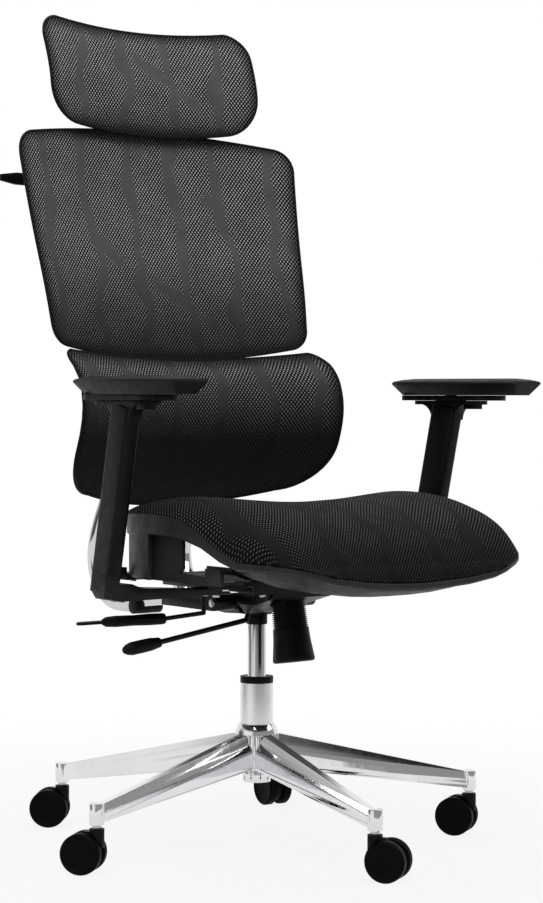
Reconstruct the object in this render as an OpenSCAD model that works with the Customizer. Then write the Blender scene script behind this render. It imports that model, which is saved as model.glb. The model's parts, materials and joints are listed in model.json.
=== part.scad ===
// Swivel office chair with mesh seat, lumbar pad, upper back and headrest on a five-star base.
// Millimetres, +Z up. The origin is on the floor under the column axis.
// The sitter faces -Y, so the sitter's right arm rest is on the -X side.

/* [Base] */
// Radius of the circle through the five caster stems
base_r = 340; // [280:5:380]
// Turn of the first leg from +X, in degrees
base_turn = 46; // [0:1:71]
// Height of the underside of the sockets at the leg tips
socket_z = 71; // [60:1:90]
// Height of each socket
socket_h = 30; // [24:1:40]
// Outer radius of each socket
socket_r = 11; // [9:0.5:14]
// Outer radius of the hub
hub_r = 33; // [29:1:45]
// Height of the underside of the hub
hub_z = 116; // [100:1:140]
// Height of the hub along the column
hub_h = 68; // [50:1:90]

/* [Casters] */
// Radius of the caster wheels
wheel_r = 30; // [22:1:36]
// Width of one caster wheel
wheel_w = 15; // [10:1:20]
// Thickness of the web between the two wheels of a caster
web_t = 12; // [11:1:16]
// Distance from the stem to the wheel axle
trail = 20; // [16:1:26]
// Radius of the caster stems
stem_r = 5.5; // [4:0.5:7]
// Radius of the caster axles
axle_r = 4; // [3:0.5:6]

/* [Column] */
// Radius of the outer tube of the gas lift
tube_r = 25; // [22:0.5:28]
// Height of the top of the outer tube
tube_top = 247; // [220:1:300]
// Radius of the piston rod
rod_r = 14; // [10:0.5:16]
// Bare length of the rod between the guide ring and the collar
rod_show = 80; // [60:1:120]

/* [Mechanism] */
// Width of the tilt mechanism housing
mech_w = 108; // [96:2:140]
// Recline pivot: distance behind the column axis
recline_y = -14; // [-30:1:0]
// Seat tilt shaft: distance in front of the column axis
tilt_y = 96; // [80:1:120]
// Radius of the tilt shaft and recline pins
pin_r = 6; // [4:0.5:8]
// Length of the tension knob
knob_h = 92; // [60:1:110]
// Radius of the tension knob at its foot
knob_r = 32; // [24:1:38]

/* [Seat] */
// Width of the seat
seat_w = 500; // [440:5:560]
// Distance from the column axis to the front edge of the seat
seat_front = 380; // [330:5:420]
// Distance from the column axis to the rear edge of the seat
seat_rear = 100; // [70:5:130]
// Radius of the seat's front corners in plan
seat_corner = 105; // [70:5:140]
// Radius of the seat's rear corners in plan
rear_corner = 160; // [110:5:170]
// Height of the underside of the seat frame at its front
seat_floor = 412; // [412:1:440]
// Thickness of the band round the seat
band_t = 11; // [9:0.5:14]
// Thickness of the seat frame's walls
wall_t = 7; // [4:0.5:10]
// Thickness of the mesh skins
mesh_t = 3; // [2:0.5:5]

/* [Back] */
// Half distance between the two polished bars
bar_x = 77; // [70:1:90]
// Width of a polished bar
bar_w = 44; // [30:1:50]
// Depth of a polished bar
bar_d = 28; // [20:1:34]
// Outer bend radius of a polished bar
bend_r = 85; // [70:1:100]
// Half width of the upper back at its shoulders
back_top_w = 271; // [230:1:290]
// Half width of the upper back at its foot
back_low_w = 246; // [210:1:270]
// Height of the top corners of the upper back
back_top_z = 1098; // [1060:1:1105]
// Height of the bottom corners of the upper back
back_low_z = 764; // [760:1:790]
// Half width of the lumbar pad
lumbar_w = 253; // [210:1:270]
// Height of the top corners of the lumbar pad
lumbar_top_z = 756; // [730:1:757]
// Height of the bottom corners of the lumbar pad
lumbar_low_z = 534; // [532:1:556]

/* [Headrest] */
// Half width of the headrest
head_w = 203; // [150:1:220]
// Height of the headrest's top corners
head_top_z = 1288; // [1260:1:1300]
// Height of the headrest's bottom corners
head_low_z = 1117; // [1116:1:1136]

/* [Arms] */
// Half distance between the two arm posts
arm_x = 305; // [295:1:330]
// Forward lean of the arm posts, in degrees
arm_lean = 12.8; // [8:0.2:16]
// Outward turn of the arm posts and pads, in degrees
arm_toe = 3.5; // [0:0.5:8]
// Section length of the arm post, front to back
post_l = 54; // [46:1:64]
// Section width of the arm post
post_w = 24; // [20:1:30]
// Length of the arm pad
pad_l = 268; // [230:1:290]
// Width of the arm pad
pad_w = 98; // [80:1:110]
// Thickness of the arm pad
pad_t = 26; // [18:1:32]

/* [Hidden] */
$fn = 64;

// Clearances: running fit of a round pin, gap between sliding faces, overlap that lets a cut pass a face
run = 0.05;
gap = 0.3;
cut = 1;

// Finishes
CHROME = "#d8dadd";
STEEL = "#8f9398";
BLACK = "#1b1b1d";
GREY = "#3a3b3e";
FABRIC = "#242426";

// ---------------------------------------------------------------- smooth forms

// Faces of a skin over m rings of n points, closed by strips at the ends unless the rings make a loop.
// Each ring runs clockwise as seen against the direction in which the rings follow each other.
function skin_faces(m, n, loop) = concat(
    [for (i = [0 : (loop ? m : m - 1) - 1], j = [0 : n - 1])
        let (k = (i + 1) % m, p = (j + 1) % n)
        each [[i * n + j, i * n + p, k * n + p], [i * n + j, k * n + p, k * n + j]]],
    loop ? [] : concat(strip_faces(0, n, true), strip_faces((m - 1) * n, n, false)));

// Faces that close a ring of n points, which run along one side and back along the other
function strip_faces(first, n, flip) = [for (j = [0 : n / 2 - 2])
    let (a = first + j, b = a + 1, c = first + n - 2 - j, d = c + 1)
    each flip ? [[a, c, b], [a, d, c]] : [[a, b, c], [a, c, d]]];

module skin(rings, loop = false) {
    polyhedron([for (r = rings) each r], skin_faces(len(rings), len(rings[0]), loop), convexity = 8);
}

// Value at x of a smooth curve through [x, y] keys with rising x
function curve(x, keys, i = 0) =
    i >= len(keys) - 2 || x <= keys[i + 1][0] ? curve_part(x, keys, min(i, len(keys) - 2)) : curve(x,
        keys, i + 1);
function slope(keys, i) = let (a = max(i - 1, 0), b = min(i + 1, len(keys) - 1))
    (keys[b][1] - keys[a][1]) / (keys[b][0] - keys[a][0]);
function curve_part(x, keys, i) = let (
    w = keys[i + 1][0] - keys[i][0],
    t = (x - keys[i][0]) / w,
    m0 = slope(keys, i) * w,
    m1 = slope(keys, i + 1) * w)
    keys[i][1] * (2 * t * t * t - 3 * t * t + 1) + m0 * (t * t * t - 2 * t * t + t)
    + keys[i + 1][1] * (3 * t * t - 2 * t * t * t) + m1 * (t * t * t - t * t);

// How far a corner of radius r pulls in at a distance d from the end
function inset(d, r) = d >= r ? 0 : r - sqrt(max(r * r - (r - d) * (r - d), 0));

function unit(v) = v / norm(v);

// Tube of an oval section a by b along a path, with the section's first axis along +X
module oval_tube(path, a, b, n = 12, p = 0.7) {
    last = len(path) - 1;
    skin([for (i = [0 : last])
        let (
            dir = unit(path[min(i + 1, last)] - path[max(i - 1, 0)]),
            side = unit(cross(dir, [1, 0, 0])),
            wide = cross(side, dir))
        [for (j = [0 : n - 1]) let (t = 360 * (j + 0.5) / n)
            path[i] + wide * (a / 2 * oval(cos(t), p)) - side * (b / 2 * oval(sin(t), p))]]);
}
function oval(c, p) = sign(c) * pow(abs(c), p);

// Round rod through a list of points, with ball joints at its bends
module rod(points, r) {
    for (i = [0 : len(points) - 2]) rod_part(points[i], points[i + 1], r);
    for (i = [1 : max(len(points) - 2, 1)]) if (len(points) > 2) translate(points[i]) sphere(r);
}
module rod_part(a, b, r) {
    d = b - a;
    translate(a) rotate([0, acos(d.z / norm(d)), atan2(d.y, d.x)]) cylinder(h = norm(d), r = r);
}

// Round-ended bar from a to b in the XY plane
module stadium(a, b, r) {
    d = b - a;
    translate(a) circle(r);
    translate(b) circle(r);
    translate(a) rotate(atan2(d.y, d.x)) translate([0, -r]) square([norm(d), 2 * r]);
}

// Extrudes a profile that is drawn in Y and Z, from x0 to x1
module along_x(x0, x1) {
    translate([x0, 0, 0]) rotate([90, 0, 90]) linear_extrude(x1 - x0) children();
}

// Rectangle with round corners, centred
module round_rect(l, w, r) {
    for (x = [-1, 1], y = [-1, 1]) translate([x * (l / 2 - r), y * (w / 2 - r)]) circle(r);
    square([l - 2 * r, w], center = true);
    square([l, w - 2 * r], center = true);
}

module mirror_pair() {
    children();
    mirror([1, 0, 0]) children();
}

// ---------------------------------------------------------------- base and casters

leg_count = 5;
leg_step = 360 / leg_count;
// Headings of the casters, from the stem towards the axle, in degrees from +X
caster_turn = [83, 138, 129, 301, 122];
socket_top = socket_z + socket_h;
hub_top = hub_z + hub_h;
foot_r = tube_r - 5;        // narrow foot of the gas lift under the hub
foot_z = hub_z - 19;
neck_h = 5.5;               // bare neck of a stem between socket and hood
hood_top = socket_z - neck_h;
hood_r = 11;
axle_gap = 0.5;             // running gap beside a wheel

// Section of a leg across its run: top width, shoulder width, foot width, low and high edges
function leg_section(r, top, mid, foot, low, high) = let (shoulder = low + (high - low) * 0.55)
    [[r, -foot / 2, low], [r, -mid / 2, shoulder], [r, -top / 2, high],
        [r, top / 2, high], [r, mid / 2, shoulder], [r, foot / 2, low]];

module leg() {
    skin([leg_section(hub_r * 0.8, 17, 35, 37, hub_z + 1, hub_top - 14),
        leg_section(base_r - 4, 9, 16, 19, socket_z + 4, socket_top - 1)]);
    translate([base_r, 0, socket_z]) cylinder(h = socket_h, r = socket_r);
}

module star_base() color(CHROME) {
    difference() {
        union() {
            for (i = [0 : leg_count - 1]) rotate(base_turn + i * leg_step) leg();
            rotate_extrude() polygon([[0, hub_z], [hub_r - 4, hub_z], [hub_r, hub_z + 4],
                [hub_r, hub_top - 12], [tube_r + 3, hub_top], [0, hub_top]]);
            hub_flutes();
        }
        translate([0, 0, hub_z - cut]) cylinder(h = hub_h + 2 * cut, r = tube_r + run);
        for (i = [0 : leg_count - 1]) rotate(base_turn + i * leg_step)
            translate([base_r, 0, socket_z - cut]) cylinder(h = socket_h - 6 + cut, r = stem_r + run);
    }
}

// Upright ribs on the hub wall between the legs
module hub_flutes() {
    for (i = [0 : leg_count - 1], k = [-1, 0, 1])
        rotate(base_turn + (i + 0.5) * leg_step + k * 13)
            translate([hub_r - 0.6, 0, hub_z + 6]) cylinder(h = hub_h - 21, r = 2.4);
}

module base_cap() color(CHROME) {
    difference() {
        translate([0, 0, foot_z - 2]) cylinder(h = hub_z - foot_z - 2, r = foot_r + 1.6);
        translate([0, 0, foot_z]) cylinder(h = hub_z, r = foot_r + run);
    }
}

module caster_stems() color(STEEL) {
    for (i = [0 : leg_count - 1]) rotate(base_turn + i * leg_step) translate([base_r, 0, 0]) {
        translate([0, 0, socket_z]) cylinder(h = socket_h - 6, r = stem_r);
        translate([0, 0, hood_top + gap]) cylinder(h = neck_h - gap, r = stem_r + 1.2);
        translate([0, 0, hood_top - 20]) cylinder(h = 20 + neck_h, r = stem_r);
    }
}

// Frame of caster i: origin at the stem on the floor, +X towards the axle, Y along the axle
module at_caster(i) {
    rotate(base_turn + i * leg_step) translate([base_r, 0, 0])
        rotate(caster_turn[i] - base_turn - i * leg_step) children();
}

module across(h, r) {
    rotate([90, 0, 0]) cylinder(h = h, r = r, center = true);
}

module caster_hood(i) color(BLACK) at_caster(i) {
    side_w = wheel_w + 2 * axle_gap;
    difference() {
        union() {
            difference() {
                translate([0, 0, hood_top - 27]) cylinder(h = 27, r = hood_r);
                for (s = [-1, 1]) translate([trail, s * (web_t / 2 + side_w / 2), wheel_r])
                    across(side_w, wheel_r + 0.8);
            }
            hood_web();
        }
        translate([0, 0, hood_top - 20 - gap]) cylinder(h = 20 + gap + cut, r = stem_r + run);
        translate([trail, 0, wheel_r]) across(web_t + cut, axle_r + run);
    }
}

// Web between the wheels: a disc round the axle, joined to the neck
module hood_web() {
    translate([trail, 0, wheel_r]) across(web_t, wheel_r - 6);
    translate([trail / 2 - 1, 0, hood_top - 16]) cube([trail, web_t, 24], center = true);
}

module caster_wheels(i) color(BLACK) at_caster(i) translate([trail, 0, wheel_r]) {
    for (s = [-1, 1]) translate([0, s * (web_t / 2 + axle_gap + wheel_w / 2), 0]) wheel(s);
    across(web_t + 2 * axle_gap + 8, axle_r);
}

// One wheel: a tread with a raised rim ring on its outer face and a blind bore for the axle
module wheel(s) {
    rotate([-s * 90, 0, 0]) difference() {
        rotate_extrude() polygon([[0, -wheel_w / 2], [wheel_r - 2, -wheel_w / 2], [wheel_r, -wheel_w / 2 + 2],
            [wheel_r, wheel_w / 2 - 3], [wheel_r - 1.5, wheel_w / 2 - 1], [wheel_r - 4, wheel_w / 2],
            [wheel_r - 5.5, wheel_w / 2 - 0.3], [wheel_r - 7, wheel_w / 2 - 1.6], [0, wheel_w / 2 - 1.6]]);
        translate([0, 0, -wheel_w / 2 - cut]) cylinder(h = 4 + cut, r = axle_r);
    }
}

// ---------------------------------------------------------------- gas lift

guide_h = 10;
guide_top = tube_top + guide_h;
collar_z = guide_top + rod_show;
collar_h = 16;
piston_z = hub_z + 76;
piston_h = 10;
bore_r = tube_r - 3;

module column_tube() color(CHROME) difference() {
    union() {
        translate([0, 0, hub_z]) cylinder(h = tube_top - hub_z, r = tube_r);
        translate([0, 0, foot_z]) cylinder(h = hub_z - foot_z + cut, r = foot_r);
    }
    translate([0, 0, hub_z + 3]) cylinder(h = tube_top - hub_z, r = bore_r);
}

module column_guide() color(BLACK) difference() {
    union() {
        translate([0, 0, tube_top - 14]) cylinder(h = 14, r = bore_r - run);
        translate([0, 0, tube_top]) cylinder(h = guide_h, r = tube_r + 0.4);
    }
    translate([0, 0, tube_top - 14 - cut]) cylinder(h = 14 + guide_h + 2 * cut, r = rod_r + run);
}

module lift_rod() color(CHROME) {
    translate([0, 0, piston_z]) cylinder(h = piston_h, r = bore_r - 0.1);
    translate([0, 0, piston_z]) cylinder(h = collar_z + 40 - piston_z, r = rod_r);
}

module rod_collar() color(BLACK) difference() {
    translate([0, 0, collar_z]) cylinder(h = collar_h - gap, r = rod_r + 2);
    translate([0, 0, collar_z - cut]) cylinder(h = collar_h + 2 * cut, r = rod_r + run);
}

// ---------------------------------------------------------------- tilt mechanism

socket_z0 = collar_z + collar_h;        // underside of the column socket
mech_z = socket_z0 + 1;                 // lowest face of the housing pan
recline_z = mech_z + 20;
tilt_z = mech_z + 38;
plate_z = mech_z + 46;                  // underside of the seat plate
plate_t = 6;
mech_half = mech_w / 2;
mech_wall = 8;
mech_rear = 104;
knob_tilt = 9.4;                        // forward lean of the tension knob, in degrees
knob_y = -76;
knob_top = mech_z + 29;

// Side profile of the housing pan
module mech_profile(in) {
    polygon([[-tilt_y - 16 + in, tilt_z + 7], [-tilt_y - 16 + in, mech_z + 31 + in],
        [-64, mech_z + 18 + in], [-34, mech_z + 3 + in], [28, mech_z + in], [mech_rear - in, mech_z + 9 + in],
        [mech_rear - in, mech_z + 18], [60, mech_z + 22], [-60, tilt_z + 3], [-tilt_y, tilt_z + 7]]);
}

// Front view of the housing pan: its sides draw in towards the bottom
module mech_front(in) {
    translate([0, 120, 0]) rotate([90, 0, 0]) linear_extrude(260) polygon([[-mech_half + 14 + in, mech_z - 1],
        [-mech_half + in, mech_z + 18], [-mech_half + in, tilt_z + 20], [mech_half - in, tilt_z + 20],
        [mech_half - in, mech_z + 18], [mech_half - 14 - in, mech_z - 1]]);
}

module mech_housing() color(GREY) difference() {
    union() {
        intersection() {
            along_x(-mech_half, mech_half) mech_profile(0);
            mech_front(0);
            difference() {
                cube([400, 400, 1000], center = true);
                intersection() {
                    along_x(-mech_half, mech_half) translate([0, 1]) mech_profile(mech_wall - 1);
                    mech_front(mech_wall);
                }
            }
        }
        translate([0, 0, socket_z0]) cylinder(h = 26, r = rod_r + 10);
        for (s = [-1, 1]) translate([s * (mech_half - 11), recline_y, recline_z])
            rotate([0, 90, 0]) cylinder(h = 20, r = 11, center = true);
        translate([0, knob_y, knob_top]) rotate([-knob_tilt, 0, 0]) translate([0, 0, -6]) {
            cylinder(h = 12, r = 12);
            cylinder(h = 3, r = 30);
        }
    }
    translate([0, 0, socket_z0 - cut]) cylinder(h = 24.5 + cut, r = rod_r + run);
    for (s = [-1, 1]) translate([s * (mech_half - 12), recline_y, recline_z])
        rotate([0, 90, 0]) cylinder(h = 40, r = pin_r + run, center = true);
    translate([0, -tilt_y, tilt_z]) rotate([0, 90, 0]) cylinder(h = mech_w + 2, r = shaft_r + run,
        center = true);
    translate([0, knob_y, knob_top]) rotate([-knob_tilt, 0, 0]) cylinder(h = 60, r = 5 + run, center = true);
    at_knob() translate([0, 0, -60]) cylinder(h = 60 + gap - 0.1, r = knob_r - 4);
    height_lever_slot();
}

// Slot in the housing's lower edge on the -X side that lets the height lever out
module height_lever_slot() {
    translate([-38, lever_y, mech_z + 3]) cube([34, 12, 20], center = true);
    translate(lever_in) rotate([90, 0, 0]) cylinder(h = lever_pin + 0.4, r = 2.5 + run, center = true);
}

module mech_pins() color(STEEL) {
    for (s = [-1, 1]) translate([s * (mech_half + 12), recline_y, recline_z])
        rotate([0, 90, 0]) cylinder(h = 64, r = pin_r, center = true);
    translate([0, -tilt_y, tilt_z]) rotate([0, 90, 0])
        cylinder(h = mech_w + 26, r = shaft_r, center = true);
}

// Frame of the tension knob: origin at its top face, axis down and forward
module at_knob() {
    translate([0, knob_y, knob_top]) rotate([-knob_tilt, 0, 0]) translate([0, 0, -6 - gap]) children();
}

knob_ribs = 13;
knob_rib_h = 3.1;
knob_well = 62;
well_r = 18;
function knob_side(z) = knob_r - 5 - (z + knob_h * 0.44) * 0.035;
module tension_knob() color(BLACK) at_knob() difference() {
    rotate_extrude() polygon(concat([[0, -knob_h], [knob_r - 3, -knob_h], [knob_r - 0.7, -knob_h + 1.4],
        [knob_r, -knob_h + 4], [knob_r - 3.5, -knob_h * 0.66], [knob_side(-knob_rib_h * knob_ribs),
            -knob_rib_h * knob_ribs]],
        [for (i = [knob_ribs : -1 : 1]) each [[knob_side(-knob_rib_h * i) - 2.4, -knob_rib_h * (i - 0.1)],
            [knob_side(-knob_rib_h * i) - 2.4, -knob_rib_h * (i - 0.45)],
            [knob_side(-knob_rib_h * i), -knob_rib_h * (i - 0.6)],
            [knob_side(-knob_rib_h * i), -knob_rib_h * (i - 0.95)]]],
        [[0, -0.15]]));
    translate([0, 0, -knob_well]) cylinder(h = knob_well + cut, r = well_r);
    translate([0, 0, -knob_well - 5]) cylinder(h = 10, r = 5 + run);
}

bolt_foot = 5;                          // the bolt's end below the knob's well
bolt_top = 7;                           // its end above the knob's rim, clear of the seat plate at full tilt
bolt_r = 5;
module tension_bolt() color(STEEL) at_knob() {
    translate([0, 0, -knob_well - bolt_foot]) cylinder(h = bolt_foot + knob_well + bolt_top, r = bolt_r);
}

spring_turns = 5;
spring_wire = 2.2;
spring_r = 14;
module tension_spring() color(STEEL) at_knob() translate([0, 0, spring_wire + gap - knob_well]) {
    steps = 12;
    high = knob_well - 2 * spring_wire - 1.5;
    skin([for (k = [0 : spring_turns * steps])
        let (t = 360 * k / steps, out = [cos(t), sin(t), 0])
        [for (j = [0 : 5]) out * (spring_r + spring_wire * cos(60 * j))
            + [0, 0, high * k / (spring_turns * steps) + spring_wire * sin(60 * j)]]]);
}

// Height lever: a bent rod that leaves the housing beside the column socket
lever_r = 4;
lever_y = -20;
lever_in = [-31, lever_y, mech_z + 4.5];
lever_pin = 22;
lever_bend = [-36, lever_y, mech_z - 8];
lever_out = [-190, lever_y + 8, mech_z - 33];
lever_end = [-255, lever_y + 11, mech_z - 42];
module height_lever() color(BLACK) {
    rod([lever_in, lever_bend, lever_out], lever_r);
    translate(lever_in) rotate([90, 0, 0]) cylinder(h = lever_pin, r = 2.5, center = true);
    lever_tang();
}

module lever_tang() {
    rod_part(lever_out, lever_out + unit(lever_end - lever_out) * 30, lever_r - 1);
}

module height_grip() color(BLACK) difference() {
    grip(lever_out + unit(lever_end - lever_out) * gap, lever_end, 8, 10, 8);
    lever_tang();
}

// Moulded grip that swells in the middle, with a round end
module grip(a, b, r0, r1, r2) {
    d = b - a;
    l = norm(d);
    translate(a) rotate([0, acos(d.z / l), atan2(d.y, d.x)]) rotate_extrude()
        polygon([[0, 0], [r0 - 2, 0], [r0 - 0.5, 2], [r0, 6], [(r0 + r1) / 2 + 0.6, l * 0.25], [r1, l * 0.5],
            [(r2 + r1) / 2 + 0.8, l * 0.78], [r2, l - 7], [r2 - 3, l - 1.5], [r2 - 5, l], [0, l]]);
}

// ---------------------------------------------------------------- seat

plate_half = 135;
rail_x = 105;
rail_h = 6.7;
pan_z = plate_z + plate_t + rail_h + gap;
pan_t = 5;
ear_t = 6;
ear_r = 9.5;
shaft_r = 5;
plate_front = -160;
cheek_z = seat_floor + 6.3;

// Seat plate: carries the slide rails and both arm brackets, hangs on the tilt shaft by two ears
module seat_plate() color(BLACK) {
    difference() {
        translate([-plate_half, plate_front, plate_z]) cube([2 * plate_half, 60 - plate_front, plate_t]);
        for (x = [-70, 0, 70], y = [-128, 30]) translate([x, y, plate_z - cut])
            linear_extrude(plate_t + 2 * cut) stadium([-14, 0], [14, 0], 9);
    }
    // Lugs that hold the pin of the seat depth lever
    for (y = [-7, 7]) difference() {
        translate(slide_top + [-7, y - 2.5, -6]) cube([14, 5, 13.5]);
        translate(slide_top) rotate([90, 0, 0]) cylinder(h = 40, r = slide_pin_r + run, center = true);
    }
    for (s = [-1, 1]) difference() {
        along_x(s * (mech_half + gap + ear_t / 2) - ear_t / 2, s * (mech_half + gap + ear_t / 2) + ear_t / 2)
            union() {
                translate([-tilt_y, tilt_z]) circle(ear_r);
                translate([-tilt_y - ear_r, tilt_z]) square([2 * ear_r, plate_z - tilt_z + 0.5]);
            }
        translate([s * mech_half, -tilt_y, tilt_z]) rotate([0, 90, 0])
            cylinder(h = 40, r = shaft_r + run, center = true);
    }
}

module slide_rails() color(STEEL) {
    for (s = [-1, 1]) translate([s * rail_x, -55, plate_z + plate_t]) {
        translate([-12, -95, 0]) cube([24, 200, 2.4]);
        translate([-6, -95, 2.4]) cube([12, 200, rail_h - 2.4]);
    }
}

// Seat depth lever: hangs from the seat plate and ends in a flat paddle
slide_top = [-107, -7, plate_z - 7];
slide_knee = [-109, -10, plate_z - 40];
slide_pin = 19;
slide_pin_r = 2.8;
slide_out = [-164, 11, plate_z - 47];
slide_end = [-252, 53, plate_z - 51];
slide_tip = [-285, 70, plate_z - 54];
module slide_lever() color(BLACK) {
    rod([slide_top, slide_knee, slide_out], 3.4);
    translate(slide_top) rotate([90, 0, 0]) cylinder(h = slide_pin, r = slide_pin_r, center = true);
    rod_part(slide_out, slide_out + unit(slide_end - slide_out) * 40, 2.6);
}

module slide_grip() color(BLACK) difference() {
    union() {
        grip(slide_out + unit(slide_end - slide_out) * gap, slide_end, 8.5, 8, 7.5);
        paddle();
    }
    rod_part(slide_out, slide_out + unit(slide_end - slide_out) * 40, 2.6);
}

module paddle() {
    d = slide_tip - slide_end;
    translate(slide_end) rotate(atan2(d.y, d.x)) rotate([0, 3, 0]) translate([-14, 0, -2]) linear_extrude(4)
        stadium([6, 0], [norm(d) + 4, 0], 10);
}

// Perimeter of the seat in plan: position along it from the front middle, at |x| and y
front_yc = -seat_front + seat_corner;
rear_yc = seat_rear - rear_corner;
half_w = seat_w / 2;
front_xc = half_w - seat_corner;
rear_xc = half_w - rear_corner;
arc_end = front_xc + seat_corner * PI / 2;
function run_at(x, y) =
    y > front_yc ? arc_end + y - front_yc
    : x <= front_xc ? x
    : front_xc + seat_corner * atan2(x - front_xc, front_yc - y) * PI / 180;

// Height of the frame's upper edge against that position: low in front, rising over the corners
edge_keys = [[0, seat_floor + 11], [77, seat_floor + 14], [145, seat_floor + 23], [200, seat_floor + 36],
    [250, seat_floor + 43], [310, seat_floor + 46], [334, seat_floor + 51], [375, seat_floor + 71],
    [417, seat_floor + 91], [460, seat_floor + 102], [530, seat_floor + 105], [600, seat_floor + 101],
    [700, seat_floor + 96]];
function edge_z(x, y) = curve(min(run_at(abs(x), y), 700), edge_keys);
// Height of the band below that edge
band_keys = [[0, 11], [145, 11], [227, 10], [310, 15], [375, 20], [460, 31], [700, 32]];
function band_h(x, y) = curve(min(run_at(abs(x), y), 700), band_keys);

// Right half of the perimeter from the front middle to the rear middle: x, y and outward direction
half_plan = concat(
    [for (x = [0 : front_xc / 3 : front_xc - 1]) [x, -seat_front, 0, -1]],
    [for (t = [-90 : 15 : 0]) [front_xc + seat_corner * cos(t), front_yc + seat_corner * sin(t), cos(t),
        sin(t)]],
    [for (k = [1 : 4]) [half_w, front_yc + (rear_yc - front_yc) * k / 5, 1, 0]],
    [for (t = [0 : 15 : 90]) [rear_xc + rear_corner * cos(t), rear_yc + rear_corner * sin(t), cos(t),
        sin(t)]],
    [[rear_xc / 2, seat_rear, 0, 1], [0, seat_rear, 0, 1]]);
last_plan = len(half_plan) - 1;
full_plan = concat(half_plan, [for (i = [last_plan - 1 : -1 : 1]) let (q = half_plan[i]) [-q[0], q[1],
    -q[2], q[3]]]);

// Point of a section at plan point q: o outwards, z high
function plan_point(q, o, z) = [q[0] + q[2] * o, q[1] + q[3] * o, z];

module seat_frame() color(GREY) {
    // Band all round, on which the mesh is stretched
    skin([for (q = full_plan) let (e = edge_z(q[0], q[1]), h = band_h(q[0], q[1]))
        [plan_point(q, -band_t, e - h), plan_point(q, -4, e - h), plan_point(q, 0, e - h + 3),
            plan_point(q, 0, e - 2), plan_point(q, -1.5, e), plan_point(q, -band_t + 2, e),
            plan_point(q, -band_t, e - 2)]], loop = true);
    mirror_pair() {
        cheek();
        side_rail();
    }
}

// Panel that closes the side of the seat behind, down from the band
cheek_from = -62;
module cheek() {
    skin([for (q = [for (q = half_plan) if (q[1] > cheek_from && q[3] < 0.8) q])
        let (top = edge_z(q[0], q[1]) - band_h(q[0], q[1]) + 2)
        [plan_point(q, -wall_t - 3, cheek_z), plan_point(q, -5, cheek_z), plan_point(q, -3, cheek_z + 4),
            plan_point(q, -3, top), plan_point(q, -wall_t - 3, top), plan_point(q, -wall_t - 4,
                (top + cheek_z) / 2)]]);
}

// Recessed side wall, and the rail below the opening that ties it to the pan
module side_rail() {
    along_x(half_w - 19, half_w - 13) polygon([[-50, cheek_z], [-50, seat_floor + 84], [-122,
        seat_floor + 84],
        [-131, seat_floor + 74], [-131, seat_floor + 28], [-124, seat_floor + 20], [-186, seat_floor + 18],
        [-186, seat_floor + 30], [-222, seat_floor + 30], [-224, seat_floor + 6], [-150, cheek_z]]);
    translate([half_w - 19, -56, cheek_z]) cube([12, 8, 80]);
    // Lugs that sit on the pan
    for (y = [-214, 16]) translate([half_w - 62, y, pan_z + pan_t]) cube([46, 30, 5]);
    translate([half_w - 19, 16, cheek_z]) cube([12, 30, 14]);
}

// Pan under the seat: a shallow bowl in front, a flat plate over the mechanism
bowl_cols = 12;
bowl_in = band_t + 0.8;
function bowl_half(y) = half_w - bowl_in - inset(y + seat_front - bowl_in, seat_corner - bowl_in);
function bowl_y(u, v) = let (f = -seat_front + bowl_in + 2, r = -96 - 130 * pow(u, 2)) f + (r - f) * v;
function bowl_low(u, v) = let (
        y = bowl_y(u, v),
        w = bowl_half(y),
        rim = edge_z(w, y) - band_h(w, y) + 3,
        deep = seat_floor + 1 - 13 * min(v * 5, 1))
    [u * w, y, deep + (rim - deep) * pow(abs(u), 2.6)];

module seat_pan() color(BLACK) {
    difference() {
        skin([for (v = [0, 0.08, 0.2, 0.36, 0.55, 0.78, 1]) concat(
            [for (j = [0 : bowl_cols]) bowl_low(1 - 2 * j / bowl_cols, v) + [0, 0, pan_t]],
            [for (j = [bowl_cols : -1 : 0]) bowl_low(1 - 2 * j / bowl_cols, v)])]);
        translate([-plate_half - 4, plate_front - 4, seat_floor - 30]) cube([2 * plate_half + 8, 300, 60]);
    }
    difference() {
        translate([-half_w + 60, plate_front - 14, pan_z]) cube([seat_w - 120, 224, pan_t]);
        for (y = [-110, -70, 10]) translate([0, y, pan_z - cut]) linear_extrude(pan_t + 2 * cut)
            stadium([-70, 0], [70, 0], 12);
    }
    translate([-plate_half - 4, plate_front - 14, seat_floor - 14])
        cube([2 * plate_half + 8, 6, pan_z - seat_floor + 16]);
    mirror_pair() {
        // Outriggers that carry the side rails
        for (y = [-214, 16]) translate([half_w - 70, y, pan_z]) cube([50, 30, pan_t]);
        translate([half_w - 70, -214, pan_z]) cube([12, 90, pan_t]);
        translate([60, plate_front - 10, pan_z + pan_t]) cube([4, 214, 8]);
    }
}

// Section of the mesh at Y: along its top, then back along its underside
seat_cols = 20;
// Height of the mesh's crest near its sides, against Y
crest_keys = [[-seat_front, seat_floor + 14], [-362, seat_floor + 44], [-340, seat_floor + 70],
    [-308, seat_floor + 95], [-252, seat_floor + 117], [-200, seat_floor + 127], [-140, seat_floor + 131],
    [-85, seat_floor + 130], [0, seat_floor + 117], [60, seat_floor + 107], [seat_rear, seat_floor + 99]];
// Sag of the mesh at the middle against Y
sag_keys = [[-seat_front, 0], [-300, 4], [-150, 16], [0, 18], [seat_rear - 30, 6], [seat_rear, 0]];
function seat_half(y) = half_w - inset(y + seat_front, seat_corner) - inset(seat_rear - y, rear_corner);
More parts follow.
